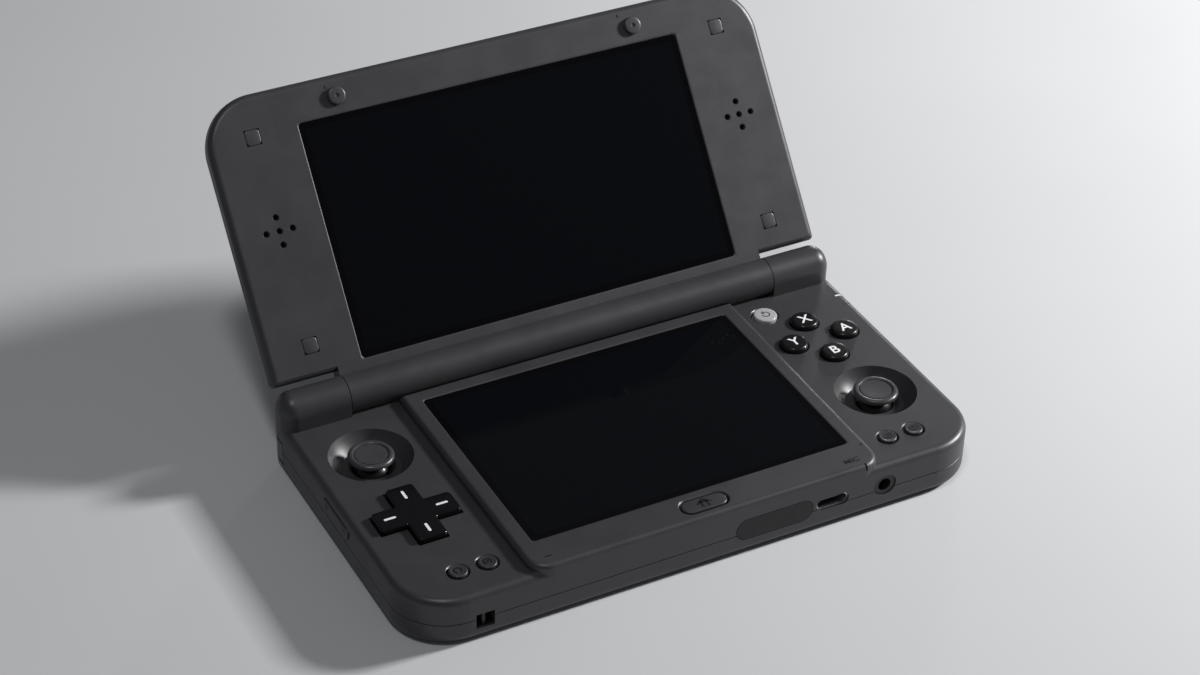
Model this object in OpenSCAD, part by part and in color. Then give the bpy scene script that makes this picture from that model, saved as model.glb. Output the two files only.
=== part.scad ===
// Clamshell handheld game console: a base with the controls and a lower display,
// and a lid with an upper display, joined by a friction hinge along the back.
// Millimetres, +X to the right, +Y to the back, +Z up.
// Origin: centre of the flat underside of the base.

/* [Base] */
// Width of the base
base_w = 159; // [152:0.5:172]
// Depth of the base, from the front wall to the back of the knuckles
base_d = 86; // [84:0.5:92]
// Height of the control deck above the underside
deck_h = 13.4; // [13.2:0.1:15]
// Height of the parting line between the two base shells
seam_h = 6.2; // [5.8:0.1:6.6]
// Corner radius at the front of the base
front_r = 14.5; // [12:0.5:20]
// Corner radius at the back of the base, and of the knuckles' outer ends
back_r = 3.8; // [3:0.1:4.4]
// Rounding of the deck's edge
deck_edge_r = 2; // [1:0.1:2.6]
// Rounding of the underside's edge
under_edge_r = 2.6; // [1:0.1:4]
// Wall thickness of the base shells
base_wall = 1.6; // [1.2:0.1:2]
// Rounding of the two shells' edges along a parting line
seam_r = 0.25; // [0.1:0.05:0.4]

/* [Display tray] */
// Width of the deck on each side of the raised tray
deck_w = 31.1; // [30:0.1:32]
// Height of the tray above the deck
tray_rise = 2; // [1.4:0.1:2.2]
// Rounding of the tray's edge
tray_edge_r = 1.4; // [0.6:0.1:1.6]
// Corner radius of the tray
tray_r = 5.5; // [4:0.5:8]
// Width of the tray's border beside the lower display's glass
low_glass_side = 4.5; // [4:0.1:8]
// Width of the tray's border behind the lower display's glass
low_glass_back = 3.25; // [3:0.05:6]
// Front edge of the lower display's glass, behind the front wall
low_glass_y = 10.1; // [10:0.1:12]

/* [Glass] */
// Thickness of the cover glasses
glass_t = 0.75; // [0.6:0.05:0.9]
// Depth of the glass below the surface around it
glass_sink = 0.2; // [0.1:0.05:0.3]
// Width of the ledge under the edge of a glass
glass_ledge = 1.4; // [1:0.1:2]
// Gap all round a glass
glass_gap = 0.12; // [0.08:0.01:0.2]
// Chamfer of the edge round a glass
glass_chamfer = 0.3; // [0.1:0.05:0.4]
// Thickness of the display panels
panel_t = 2.2; // [1.6:0.1:2.4]

/* [Hinge] */
// Radius of the hinge barrel and knuckles
barrel_r = 4.95; // [4.8:0.05:5.2]
// Length of a knuckle
knuckle_l = 18; // [16.5:0.1:20]
// Height of the hinge axis above the deck
axis_rise = 3.7; // [3.7:0.1:4.2]
// Gap between the barrel and what surrounds it
barrel_gap = 0.35; // [0.3:0.05:0.5]
// Gap at each end of the barrel
seam_gap = 0.2; // [0.15:0.05:0.3]
// Radius of the hinge pins
pin_r = 1.5; // [1.2:0.1:1.8]
// Radius of the friction cartridges
cartridge_r = 3.2; // [2.8:0.1:3.4]
// Length of the friction cartridges
cartridge_l = 12; // [9:0.5:13]
// Length of a pin inside the barrel
pin_in_barrel = 9; // [6:0.5:12]
// Running clearance of the pins
run_gap = 0.05; // [0.03:0.01:0.08]
// Clearance of a part seated in its pocket
seat_gap = 0.05; // [0.02:0.01:0.1]

/* [Lid] */
// Distance of the lid's sides inward from the base's sides
lid_inset = 0.6; // [0:0.1:2]
// Reach of the lid from the hinge axis to its far edge
lid_reach = 79.3; // [78.5:0.1:80.5]
// Thickness of the lid
lid_t = 6.3; // [6.2:0.1:7]
// Distance from the hinge axis to the lid's face
face_offset = 0.4; // [0.3:0.1:0.6]
// Thickness of the front bezel down to its parting line
bezel_depth = 2.8; // [2.6:0.1:3]
// Thickness of the bezel's plate
bezel_t = 1.8; // [1.7:0.1:2]
// Wall thickness of the lid's shells
lid_wall = 1.3; // [1:0.1:1.5]
// Corner radius of the lid
lid_r = 14.3; // [10:0.1:17]
// Rounding of the bezel's edge
bezel_edge_r = 1.8; // [1:0.1:2.2]
// Rounding of the back cover's edge
cover_edge_r = 3; // [1.5:0.1:3.2]
// Distance from the hinge axis to the lid's lower edge beside the barrel
ear_v = 6.2; // [6:0.1:7]
// Angle of the lid from closed, as modelled
lid_angle = 127.6; // [100:0.1:150]
// Width of the bezel beside the upper display's glass
up_glass_side = 24.5; // [23:0.1:28]
// Width of the bezel above the upper display's glass
up_glass_top = 10.2; // [10:0.1:13]
// Lower edge of the upper display's glass, from the hinge axis
up_glass_v = 7.5; // [7.4:0.1:8.2]

/* [Lid details] */
// Screw caps inward from the lid's sides
cap_side = 12.2; // [9:0.1:14]
// Lower screw caps, from the hinge axis
cap_v1 = 14.2; // [12:0.1:18]
// Upper screw caps below the lid's far edge
cap_top = 11; // [10:0.1:14]
// Side of a screw cap
cap_s = 4; // [3.6:0.1:6]
// Speakers inward from the lid's sides
speaker_side = 12.4; // [11.5:0.1:12.8]
// Speakers, from the hinge axis
speaker_v = 43.9; // [40:0.1:48]
// Spacing of the speaker holes
speaker_pitch = 3.56; // [2.6:0.1:4]
// Diameter of the speaker holes
speaker_hole_d = 1.5; // [1:0.1:2]
// Half spacing of the bumpers
bumper_x = 42.6; // [38:0.1:46]
// Bumpers below the lid's far edge
bumper_top = 5.6; // [5:0.1:5.8]
// Diameter of a bumper
bumper_d = 4.7; // [3:0.1:5]
// Height of a bumper above the bezel
bumper_h = 1.2; // [0.6:0.1:1.2]

/* [Thumbsticks] */
// Thumbsticks inward from the base's sides
stick_side = 15.9; // [15:0.1:16.8]
// Left thumbstick behind the middle of the base
stick_left_y = 16.9; // [16.5:0.1:18]
// Right thumbstick behind the middle of the base
stick_right_y = -14.8; // [-15.2:0.1:-14]
// Diameter of a thumbstick's cap
stick_cap_d = 11.8; // [10:0.1:12.4]
// Diameter of the bowl around a thumbstick
bowl_d = 21.4; // [20.5:0.1:22.2]
// Height of the cap above the deck
stick_rise = 0.5; // [0:0.1:1]
// Tilt of a thumbstick each way
stick_tilt = 12; // [10:1:16]
// Travel of a thumbstick's click
stick_click = 0.3; // [0.2:0.05:0.4]

/* [Direction pad] */
// Direction pad inward from the base's left side
dpad_side = 16; // [15.5:0.1:17]
// Direction pad behind the middle of the base
dpad_y = -9.6; // [-10.6:0.1:-9]
// Span of the direction pad
dpad_span = 21; // [19:0.1:22.4]
// Width of an arm
dpad_arm = 7.4; // [6:0.1:8.4]
// Height of the direction pad above the deck
dpad_rise = 1.4; // [1:0.1:2.2]
// Gap around the direction pad
dpad_gap = 0.35; // [0.3:0.05:0.5]

/* [Buttons] */
// Centre of the face buttons inward from the base's right side
face_side = 16.9; // [16:0.1:18]
// Centre of the face buttons behind the middle of the base
face_y = 11.4; // [11:0.1:12.5]
// Distance of the face buttons from their centre
face_pitch = 7.7; // [7.2:0.1:8]
// Diameter of a face button
face_d = 7.4; // [6:0.1:7.8]
// Height of a face button above the deck
face_rise = 1.3; // [0.8:0.1:2]
// Travel of a face button
face_travel = 0.8; // [0.5:0.05:0.9]
// Gap around a button
button_gap = 0.15; // [0.1:0.01:0.2]
// Chamfer of the holes in the deck
hole_chamfer = 0.3; // [0.2:0.05:0.5]
// Outer small buttons inward from the base's sides
small_side = 16.1; // [14.5:0.1:17]
// Spacing of the two small buttons on each side
small_pitch = 7.7; // [7.2:0.1:8.5]
// Small buttons behind the front wall
small_front = 10; // [9:0.1:11]
// Diameter of a small button
small_d = 5.2; // [5:0.1:6.4]
// Height of a small button above the deck
small_rise = 0.7; // [0.3:0.1:1]
// Travel of a small button
small_travel = 0.4; // [0.25:0.05:0.5]
// Return button inward from the base's right side
return_side = 24.7; // [24:0.1:25.5]
// Return button in front of the hinge's knuckles
return_front = 6.8; // [6:0.1:7.6]
// Diameter of the return button
return_d = 7; // [6:0.1:7.4]
// Length of the home button
home_l = 12.8; // [10:0.1:14]
// Width of the home button
home_w = 5.2; // [4.4:0.1:5.4]
// Middle of the home button behind the front wall
home_y = 5.1; // [5:0.05:5.3]

/* [Edge controls and ports] */
// Length of the volume rocker
volume_l = 15.4; // [12:0.1:17]
// Height of the volume rocker
volume_h = 2.9; // [2.2:0.1:3.2]
// Volume rocker behind the middle of the base
volume_y = 1.9; // [0:0.1:3]
// Depth of the volume rocker below the deck
volume_drop = 3.6; // [3.5:0.1:4]
// Length of the power button
power_l = 8; // [6:0.1:10]
// Length of the card slot's cover
cover_l = 21.6; // [18:0.1:22]
// Height of the card slot's cover
cover_h = 6; // [5:0.1:6.4]
// Middle of the card slot's cover right of the middle
cover_x = 17.5; // [15:0.1:18]
// Middle of the USB-C port right of the middle
usb_x = 34; // [33.6:0.1:36]
// Depth of the ports' middle below the deck
cover_drop = 6; // [5.8:0.1:6.2]
// Middle of the headphone jack right of the middle
jack_x = 49.2; // [48:0.1:50]
// Radius of the headphone jack's bore
jack_r = 1.8; // [1.78:0.01:1.85]
// Length of the headphone jack
jack_l = 13; // [11:0.5:15]
// Front of the shoulder buttons behind the middle of the base
shoulder_y = 36.2; // [35.8:0.1:37]
// Depth of the shoulder buttons' top below the deck
shoulder_drop = 4.6; // [4.4:0.1:5]
// Height of the shoulder buttons
shoulder_h = 6.4; // [5:0.1:6.6]
// Length of the outer shoulder buttons
shoulder_l = 26.5; // [23.5:0.5:29]
// Length of the inner shoulder buttons
inner_l = 14; // [10:0.5:18]
// Travel of the inner shoulder buttons
shoulder_travel = 1.2; // [0.8:0.1:1.4]

/* [Feet] */
// Length of a foot
foot_l = 16; // [10:0.5:20]
// Width of a foot
foot_w = 5; // [4:0.5:6]
// Height of a foot below the underside
foot_h = 0.25; // [0.1:0.05:0.3]

/* [Hidden] */
$fn = 64;
eps = 0.01;                       // overshoot of a cut
big = 200;                        // larger than the object

base_hw = base_w / 2;
y_front = -base_d / 2;
y_back = base_d / 2;
axis_y = y_back - barrel_r;
axis_z = deck_h + axis_rise;
trough_r = barrel_r + barrel_gap;
trough_front = axis_y - trough_r;
knuckle_in = base_hw - knuckle_l;
barrel_hl = knuckle_in - seam_gap;
knuckle_front = axis_y - barrel_r;
tray_hw = base_hw - deck_w;
deck_under = deck_h - base_wall + 0.1;
tray_z = deck_h + tray_rise;
glass_seat = tray_z - glass_sink - glass_t;
tray_under = glass_seat - 1;
floor_t = 1.5;                    // thickness of the underside

board_t = 1;
board_z = 6;
board_top = board_z + board_t;
board_side = 3;                   // from the base's side to the board's
board_front = y_front + base_wall + 14;
board_back = trough_front - 2.75;
board_nose = [-30, 44];           // ends of the part in front of the deck's controls
chip_h = 1;
battery_hw = 35;
battery_gap = 0.4;                // from the battery to the board above it
cooling_hw = 42;
cooling_hd = 24;
cooling_t = 0.4;
cooling_foot = [4, 4];
low_glass_front = y_front + low_glass_y;
low_glass_w = 2 * (tray_hw - low_glass_side);
low_glass_d = trough_front - low_glass_back - low_glass_front;
low_glass_mid = low_glass_front + low_glass_d / 2;
panel_margin = 1.2;               // how far a panel reaches past the glass opening

lid_hw = base_hw - lid_inset;
up_glass_w = 2 * (lid_hw - up_glass_side);
up_glass_h = lid_reach - up_glass_top - up_glass_v;
cap_x = lid_hw - cap_side;
cap_v2 = lid_reach - cap_top;
speaker_x = lid_hw - speaker_side;
bumper_v = lid_reach - bumper_top;
face_z = face_offset;
lid_seam = face_z - bezel_depth;
bezel_under = face_z - bezel_t;
lid_back = face_z - lid_t;
cover_inner = lid_back + lid_wall;
up_seat = face_z - glass_sink - glass_t;
up_glass_mid = up_glass_v + up_glass_h / 2;
web_back = -4.3;                  // back of the web between barrel and lid
web_v = ear_v + lid_wall + 0.3;

stick_x = base_hw - stick_side;
stick_top = deck_h + stick_rise;
cap_t = 2;
stick_pivot = 6.6;
stick_house = 13;
dome_r = stick_top - cap_t - 0.05 - stick_pivot;
shaft_r = 1.1;
trunnion_r = 0.6;
stick_ring_r = 3;
bowl_floor = 9.5;
bowl_foot_r = 7.6;
throat_r = 5;

dpad_x = base_hw - dpad_side;
dpad_top = deck_h + dpad_rise;
dpad_pivot = deck_under + 0.1;
dpad_disc_top = deck_under - 1.5;
dpad_disc_r = dpad_span / 2 + 0.6;
ball_r = 1.5;
dpad_contact = 7.4;               // contacts of the pad, from its middle
membrane_z = board_top;
membrane_t = 0.7;
dome_h = 0.5;
face_x = base_hw - face_side;
small_x_out = base_hw - small_side;
small_y = -y_front - small_front;
return_x = base_hw - return_side;
return_y = knuckle_front - return_front;

flange_t = 0.7;
flange_w = 0.7;
flange_top = deck_under - 0.05;
face_stem = 9.3;
small_stem = 9.6;
switch_top = small_stem - small_travel - 0.15;

side_z = deck_h - volume_drop;
port_z = deck_h - cover_drop;
jack_z = port_z;
shoulder_top = deck_h - shoulder_drop;
shoulder_bottom = shoulder_top - shoulder_h;
shoulder_t = 1.6;                 // wall of a shoulder button
shoulder_gap = 0.25;
shoulder_x = base_hw - shoulder_l;
shoulder_in = y_back - 4.4;       // inner face of the shoulder pocket
shoulder_pin = [base_hw - 2.4, shoulder_y + 2];
shoulder_pin_r = 1;
shoulder_end_gap = 0.5;
inner_x = shoulder_x - 2 - inner_l;

led_y = [26.4, 21.9];
led_l = 2.3;
led_w = 0.6;
led_x = base_hw - 0.5 - led_l;    // inner end of a light pipe's face
led_root = deck_under - 1.9;      // where a pipe widens towards the wall

strap_x = 18.5 - base_hw;
strap_z = [3.2, 7.6];

// Screw posts of the base, as [x, y]
base_posts = [[6 - base_hw, -26], [base_hw - 6, -28],
              [28.7 - base_hw, y_front + 4.2], [base_hw - 22, y_front + 3.8],
              [27.5 - base_hw, y_back - 9.4], [base_hw - 27.5, y_back - 9.4]];
post_r = 2.4;
pilot_r = 0.75;
screw_r = 0.7;
head_r = 1.5;
head_t = 0.9;

plastic = [0.2, 0.2, 0.21];
gloss = [0.05, 0.05, 0.05];
glass_color = [0.02, 0.02, 0.03];
steel = [0.7, 0.7, 0.72];
rubber = [0.12, 0.12, 0.12];

// ---------- shared shapes ----------

// Section of a plate's edge, from its inner side at x = 0 out to x = w,
// rounded at the top by rt and at the bottom by ru.
module edge_section(w, h, rt, ru) {
  difference() {
    square([w, h]);
    if (rt > 0) translate([w - rt, h - rt]) difference() {
      square([rt + 1, rt + 1]);
      circle(rt);
    }
    if (ru > 0) translate([w - ru, ru]) mirror([0, 1]) difference() {
      square([ru + 1, ru + 1]);
      circle(ru);
    }
  }
}

// Corner of a plate: a quarter turn of its edge section.
module plate_corner(x, y, turn, r, h, rt, ru) {
  translate([x, y, 0]) rotate([0, 0, turn]) rotate_extrude(angle = 90)
    edge_section(r, h, rt, ru);
}

// Straight edge of a plate, of width e, from p towards the heading turn.
module plate_side(x, y, turn, len, e, h, rt, ru) {
  translate([x, y, 0]) rotate([90, 0, turn]) linear_extrude(len)
    edge_section(e, h, rt, ru);
}

// Plate with rounded corners in plan (rf at the front, rb at the back) and rounded
// edges, from y0 to y1 and z0 to z1.
module slab(hw, y0, y1, rf, rb, z0, z1, rt = 0, ru = 0) {
  h = z1 - z0;
  e = max(rt, ru, 0.5);
  translate([0, 0, z0]) {
    for (s = [-1, 1]) mirror([s > 0 ? 0 : 1, 0, 0]) {
      plate_corner(hw - rf, y0 + rf, -90, rf, h, rt, ru);
      plate_corner(hw - rb, y1 - rb, 0, rb, h, rt, ru);
      plate_side(hw - e, y1 - rb, 0, y1 - rb - y0 - rf, e, h, rt, ru);
      if (rf > e) translate([hw - rf, y0 + rf, 0]) cube([rf - e, eps, h]);
    }
    plate_side(hw - rf, y0 + e, -90, 2 * (hw - rf), e, h, rt, ru);
    plate_side(rb - hw, y1 - e, 90, 2 * (hw - rb), e, h, rt, ru);
    translate([e - hw, y0 + rf, 0]) cube([2 * (hw - e), y1 - rb - y0 - rf, h]);
    if (rf > e) translate([rf - hw, y0 + e, 0]) cube([2 * (hw - rf), rf - e, h]);
    if (rb > e) translate([rb - hw, y1 - rb, 0]) cube([2 * (hw - rb), rb - e, h]);
  }
}

// Upright rod from z0 to z1.
module rod(x, y, r, z0, z1) {
  translate([x, y, z0]) cylinder(r = r, h = z1 - z0);
}

// Rod along X from x0 to x1.
module rod_x(r, x0, x1, y, z) {
  translate([x0, y, z]) rotate([0, 90, 0]) cylinder(r = r, h = x1 - x0);
}

// Box between two corners.
module box(a, b) {
  translate(a) cube([b[0] - a[0], b[1] - a[1], b[2] - a[2]]);
}

// Upright prism with a round end on each side, l long along X and w wide.
module obround(l, w, z0, z1) {
  for (s = [-1, 1]) rod(s * (l - w) / 2, 0, w / 2, z0, z1);
  box([-(l - w) / 2, -w / 2, z0], [(l - w) / 2, w / 2, z1]);
}

// The same prism lying along Y, from y0 to y1.
module obround_y(l, w, y0, y1) {
  translate([0, y1, 0]) rotate([90, 0, 0]) obround(l, w, 0, y1 - y0);
}

// Round button with a rounded rim, centred on the origin in plan.
module round_button(d, z0, z1, rim) {
  rotate_extrude() difference() {
    union() {
      square([d / 2, z1 - z0 - rim]);
      square([d / 2 - rim, z1 - z0]);
      translate([d / 2 - rim, z1 - z0 - rim]) circle(rim);
    }
    translate([-d, -1]) square([d, z1 - z0 + 2]);
  }
}

// Cone that chamfers a round hole of radius r by c at the height z.
module hole_edge(x, y, r, z, c) {
  translate([x, y, z - c]) rotate_extrude()
    polygon([[0, 0], [r, 0], [r + c + 1, c + 1], [0, c + 1]]);
}

// The same for a hole with round ends, l long along X and w wide.
module obround_edge(l, w, z, c) {
  for (s = [-1, 1]) hole_edge(s * (l - w) / 2, 0, w / 2, z, c);
  translate([-(l - w) / 2, 0, z - c]) rotate([90, 0, 90]) linear_extrude(l - w)
    polygon([[-w / 2, 0], [w / 2, 0], [w / 2 + c + 1, c + 1], [-w / 2 - c - 1, c + 1]]);
}

// The same for a rectangular opening, w wide and d deep.
module window_edge(w, d, z, c) {
  intersection() {
    translate([0, d / 2 + 2, z - c]) rotate([90, 0, 0]) linear_extrude(d + 4)
      polygon([[-w / 2, 0], [w / 2, 0], [w / 2 + c + 1, c + 1], [-w / 2 - c - 1, c + 1]]);
    translate([-w / 2 - 2, 0, z - c]) rotate([90, 0, 90]) linear_extrude(w + 4)
      polygon([[-d / 2, 0], [d / 2, 0], [d / 2 + c + 1, c + 1], [-d / 2 - c - 1, c + 1]]);
  }
}

module placed_button(x, y, d, z0, z1, rim) {
  translate([x, y, z0]) round_button(d, z0, z1, rim);
  rod(x, y, d / 2 + flange_w, flange_top - flange_t, flange_top);
}

// Puts a shape drawn in the lid's own frame (hinge axis at the origin, +Y along the
// lid, +Z out of its face) where the open lid stands.
module on_lid() {
  translate([0, axis_y, axis_z]) rotate([180 - lid_angle, 0, 0]) children();
}

// Corners of the four screw caps and of the lid's screws.
module each_cap() {
  for (s = [-1, 1], v = [cap_v1, cap_v2]) translate([s * cap_x, v, 0]) children();
}

module stick_places(side) {
  translate([side * stick_x, side < 0 ? stick_left_y : stick_right_y, 0]) children();
}

// ---------- base ----------

// Upper half of the knuckle, turned about the hinge axis, with a rounded end.
module knuckle_round() {
  intersection() {
    translate([knuckle_in, axis_y, axis_z]) rotate([0, 90, 0]) rotate_extrude()
      edge_section(barrel_r, base_hw - knuckle_in, back_r, 0);
    box([knuckle_in - 1, axis_y - 2 * barrel_r, axis_z], [base_hw + 1, axis_y + 2 * barrel_r, big]);
  }
}

// Block that carries the knuckle's round on the base.
module knuckle_block() {
  r = back_r;
  x1 = base_hw;
  z0 = seam_h + 3;
  for (y = [knuckle_front + r, y_back - r]) rod(x1 - r, y, r, z0, axis_z);
  box([knuckle_in, knuckle_front, z0], [x1 - r, y_back, axis_z]);
  box([x1 - r, knuckle_front + r, z0], [x1, y_back - r, axis_z]);
}

module base_outer() {
  slab(base_hw, y_front, y_back, front_r, back_r, seam_h, deck_h, deck_edge_r, seam_r);
  slab(tray_hw, y_front, axis_y, tray_r, 1.5, deck_h - 3, tray_z, tray_edge_r);
}

// Room for the barrel: a round trough, open to the back and above.
module barrel_trough() {
  rod_x(trough_r, -knuckle_in, knuckle_in, axis_y, axis_z);
  box([-knuckle_in, axis_y, axis_z - trough_r], [knuckle_in, y_back + 1, big]);
  box([-knuckle_in, axis_y - trough_r, axis_z], [knuckle_in, axis_y + 1, big]);
}

module base_cavity() {
  w = base_wall;
  slab(base_hw - w, y_front + w, knuckle_front - w, front_r - w, 1, seam_h - 1, deck_under);
  slab(base_hw - w, knuckle_front - w - 2, y_back - w, 1, back_r - w,
       seam_h - 1, axis_z - trough_r - w);
  // room above the lower display
  box([-low_glass_w / 2 - panel_margin - 0.2, low_glass_front - panel_margin - 0.2, seam_h],
      [low_glass_w / 2 + panel_margin + 0.2, low_glass_front + low_glass_d + panel_margin + 0.2,
       tray_under]);
  // room under the home button
  box([-home_l / 2 - 1.2, y_front + w, seam_h], [home_l / 2 + 1.2, y_front + 9, tray_under]);
}

module low_window() {
  g = glass_gap;
  l = glass_ledge;
  translate([0, low_glass_mid, 0]) {
    box([-low_glass_w / 2 - g, -low_glass_d / 2 - g, glass_seat],
        [low_glass_w / 2 + g, low_glass_d / 2 + g, tray_z + 1]);
    box([l - low_glass_w / 2, l - low_glass_d / 2, tray_under - 1],
        [low_glass_w / 2 - l, low_glass_d / 2 - l, tray_z]);
    window_edge(low_glass_w + 2 * g, low_glass_d + 2 * g, tray_z, glass_chamfer);
  }
}

// Bowl around a thumbstick: a ball-shaped hollow with an open throat.
module bowl_profile(grow) {
  // sphere through the bowl's rim and its throat
  rim = bowl_d / 2;
  drop = deck_h - bowl_floor;
  mid = (rim * rim - bowl_foot_r * bowl_foot_r - drop * drop) / (2 * drop);
  r = sqrt(rim * rim + mid * mid);
  intersection() {
    translate([0, 0, deck_h + mid]) sphere(r = r + grow, $fn = 96);
    rod(0, 0, rim + grow, bowl_floor - (grow > 0 ? 0.8 : 0), deck_h + (grow > 0 ? -0.5 : 1));
  }
}

module bowl_cut() {
  bowl_profile(0);
  rod(0, 0, throat_r, seam_h, deck_h);
}

module bowl_wall() {
  bowl_profile(1.1);
}

module dpad_cross(grow, z0, z1) {
  s = dpad_span / 2 + grow;
  a = dpad_arm / 2 + grow;
  box([-s, -a, z0], [s, a, z1]);
  box([-a, -s, z0], [a, s, z1]);
}

// Round hole of a button through the deck, with a chamfered edge.
module button_hole(x, y, d) {
  rod(x, y, d / 2 + button_gap, deck_under - 2, big);
  hole_edge(x, y, d / 2 + button_gap, deck_h, hole_chamfer);
}

module deck_holes() {
  z0 = deck_under - 2;
  for (t = [0 : 90 : 270])
    button_hole(face_x + face_pitch * cos(t), face_y + face_pitch * sin(t), face_d);
  for (s = [-1, 1], k = [0, 1])
    button_hole(s * (small_x_out - k * small_pitch), -small_y, small_d);
  button_hole(return_x, return_y, return_d);
  translate([-dpad_x, dpad_y, 0]) dpad_cross(dpad_gap, z0, big);
  translate([0, y_front + home_y, 0]) {
    obround(home_l + 2 * button_gap, home_w + 2 * button_gap, z0, big);
    obround_edge(home_l + 2 * button_gap, home_w + 2 * button_gap, tray_z, hole_chamfer);
  }
  for (y = led_y) box([led_x - seat_gap, y - led_w / 2 - seat_gap, z0],
                      [led_x + led_l + seat_gap, y + led_w / 2 + seat_gap, big]);
  // microphone slit in the tray's front edge
  box([tray_hw - 5.3, y_front - 1, tray_z - 1.6], [tray_hw - 4.8, y_front + 1.3, tray_z + 1]);
}

// Cuts that both base shells share along the parting line.
module edge_cuts() {
  // card slot and its cover, and the USB-C port
  translate([cover_x, 0, port_z]) {
    obround_y(cover_l + 0.3, cover_h + 0.3, y_front - 1, y_front + 1);
    obround_y(cover_l - 3, cover_h - 2, y_front - 1, y_front + 3);
  }
  translate([usb_x, 0, port_z]) obround_y(9.3, 3.56, y_front - 1, y_front + 3);
  // headphone jack
  translate([jack_x, 0, jack_z]) obround_y(6.4, 5.8, y_front - 1, y_front + 3);
  // strap recess
  box([strap_x - 2.4, y_front - 2, strap_z[0]], [strap_x + 2.4, y_front + 3.6, strap_z[1]]);
  // volume rocker and power button
  translate([-base_hw, volume_y, side_z]) rotate([0, 0, 90])
    obround_y(volume_l + 0.4, volume_h + 0.4, -4, 1);
  translate([base_hw, volume_y, side_z]) rotate([0, 0, 90])
    obround_y(power_l + 0.3, volume_h + 0.3, -1, 4);
  // shoulder pockets
  for (s = [-1, 1]) mirror([s > 0 ? 0 : 1, 0, 0]) {
    box([shoulder_x - shoulder_end_gap, shoulder_y - shoulder_gap,
         shoulder_bottom - shoulder_gap],
        [base_hw + 1, y_back + 1, shoulder_top + shoulder_gap]);
    box([inner_x - shoulder_gap, shoulder_in, shoulder_bottom - shoulder_gap],
        [inner_x + inner_l + shoulder_gap, y_back + 1, shoulder_top + shoulder_gap]);
  }
}

// Inner walls of the shoulder pockets, and the block around the strap recess.
module inner_walls(z0, z1) {
  t = 1;
  for (s = [-1, 1]) mirror([s > 0 ? 0 : 1, 0, 0]) {
    box([inner_x - t, shoulder_in - t, z0], [shoulder_x - 1.4, shoulder_in - shoulder_gap, z1]);
    box([shoulder_x - t - shoulder_end_gap, shoulder_y - t - shoulder_gap, z0],
        [base_hw - 0.8, shoulder_y - shoulder_gap, z1]);
  }
}

module strap_block(z0, z1) {
  box([strap_x - 3.4, y_front + 1, z0], [strap_x + 3.4, y_front + 4.6, z1]);
}

module base_top_shell() {
  color(plastic) difference() {
    union() {
      difference() {
        base_outer();
        base_cavity();
      }
      for (s = [-1, 1]) mirror([s > 0 ? 0 : 1, 0, 0]) {
        knuckle_block();
        knuckle_round();
      }
      for (s = [-1, 1]) stick_places(s) bowl_wall();
      for (p = base_posts) rod(p[0], p[1], post_r, seam_h, deck_under + 0.2);
      inner_walls(seam_h, axis_z - trough_r - 1);
      strap_block(seam_h, strap_z[1] + 1);
    }
    barrel_trough();
    low_window();
    deck_holes();
    edge_cuts();
    for (s = [-1, 1]) stick_places(s) bowl_cut();
    for (p = base_posts) rod(p[0], p[1], pilot_r, seam_h - 1, seam_h + 5);
    // bores of the friction cartridges
    for (s = [-1, 1]) mirror([s > 0 ? 0 : 1, 0, 0])
      rod_x(cartridge_r + seat_gap, knuckle_in - 1, knuckle_in + cartridge_l + 0.3, axis_y, axis_z);
  }
}

module base_bottom_cover() {
  w = base_wall;
  // pins of the outer shoulder buttons
  color(plastic) for (s = [-1, 1])
    rod(s * shoulder_pin[0], shoulder_pin[1], shoulder_pin_r, floor_t, shoulder_top + 0.1);
  color(plastic) difference() {
    union() {
      difference() {
        slab(base_hw, y_front, y_back, front_r, back_r, 0, seam_h, seam_r, under_edge_r);
        slab(base_hw - w, y_front + w, y_back - w, front_r - w, back_r - w, floor_t, seam_h + 1);
      }
      for (p = base_posts) rod(p[0], p[1], post_r, floor_t - 0.2, seam_h);
      inner_walls(floor_t - 0.2, seam_h);
      strap_block(floor_t - 0.2, seam_h);
      // rests of the board
      for (x = [-1, 1] * (base_hw - 13.5), y = [board_front + 3, board_back - 3])
        rod(x, y, 1.6, floor_t - 0.2, board_z);
      for (x = [-1, 1] * (battery_hw + 5), y = [board_front + 3, board_back - 3])
        rod(x, y, 1.6, floor_t - 0.2, board_z);
    }
    edge_cuts();
    for (p = base_posts) {
      rod(p[0], p[1], pilot_r + 0.15, -1, seam_h + 1);
      rod(p[0], p[1], head_r + 0.15, -1, head_t + 0.5);
    }
    for (p = foot_places()) translate([p[0], p[1], 0])
      obround(foot_l + 0.1, foot_w + 0.1, -1, foot_t());
  }
}

function foot_t() = 0.7;
function foot_places() = [for (s = [-1, 1], y = [y_front + 12, y_back - 15]) [s * (base_hw - 23.5), y]];

module rubber_feet() {
  color(rubber) for (p = foot_places()) translate([p[0], p[1], 0])
    obround(foot_l, foot_w, -foot_h, foot_t());
}

module base_screws() {
  color(steel) for (p = base_posts) difference() {
    union() {
      rod(p[0], p[1], screw_r, 0.5 + head_t - eps, seam_h + 4);
      rod(p[0], p[1], head_r, 0.5, 0.5 + head_t);
    }
    for (a = [0, 90]) translate([p[0], p[1], 0]) rotate([0, 0, a])
      box([-0.9, -0.2, 0], [0.9, 0.2, 0.9]);
  }
}

module lower_screen_glass() {
  color(glass_color) translate([0, low_glass_mid, 0])
    box([-low_glass_w / 2, -low_glass_d / 2, glass_seat],
        [low_glass_w / 2, low_glass_d / 2, glass_seat + glass_t]);
}

module lower_display_panel() {
  color([0.1, 0.1, 0.12]) translate([0, low_glass_mid, 0])
    box([-low_glass_w / 2 - panel_margin, -low_glass_d / 2 - panel_margin,
         tray_under - 0.05 - panel_t],
        [low_glass_w / 2 + panel_margin, low_glass_d / 2 + panel_margin, tray_under - 0.05]);
}

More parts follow.
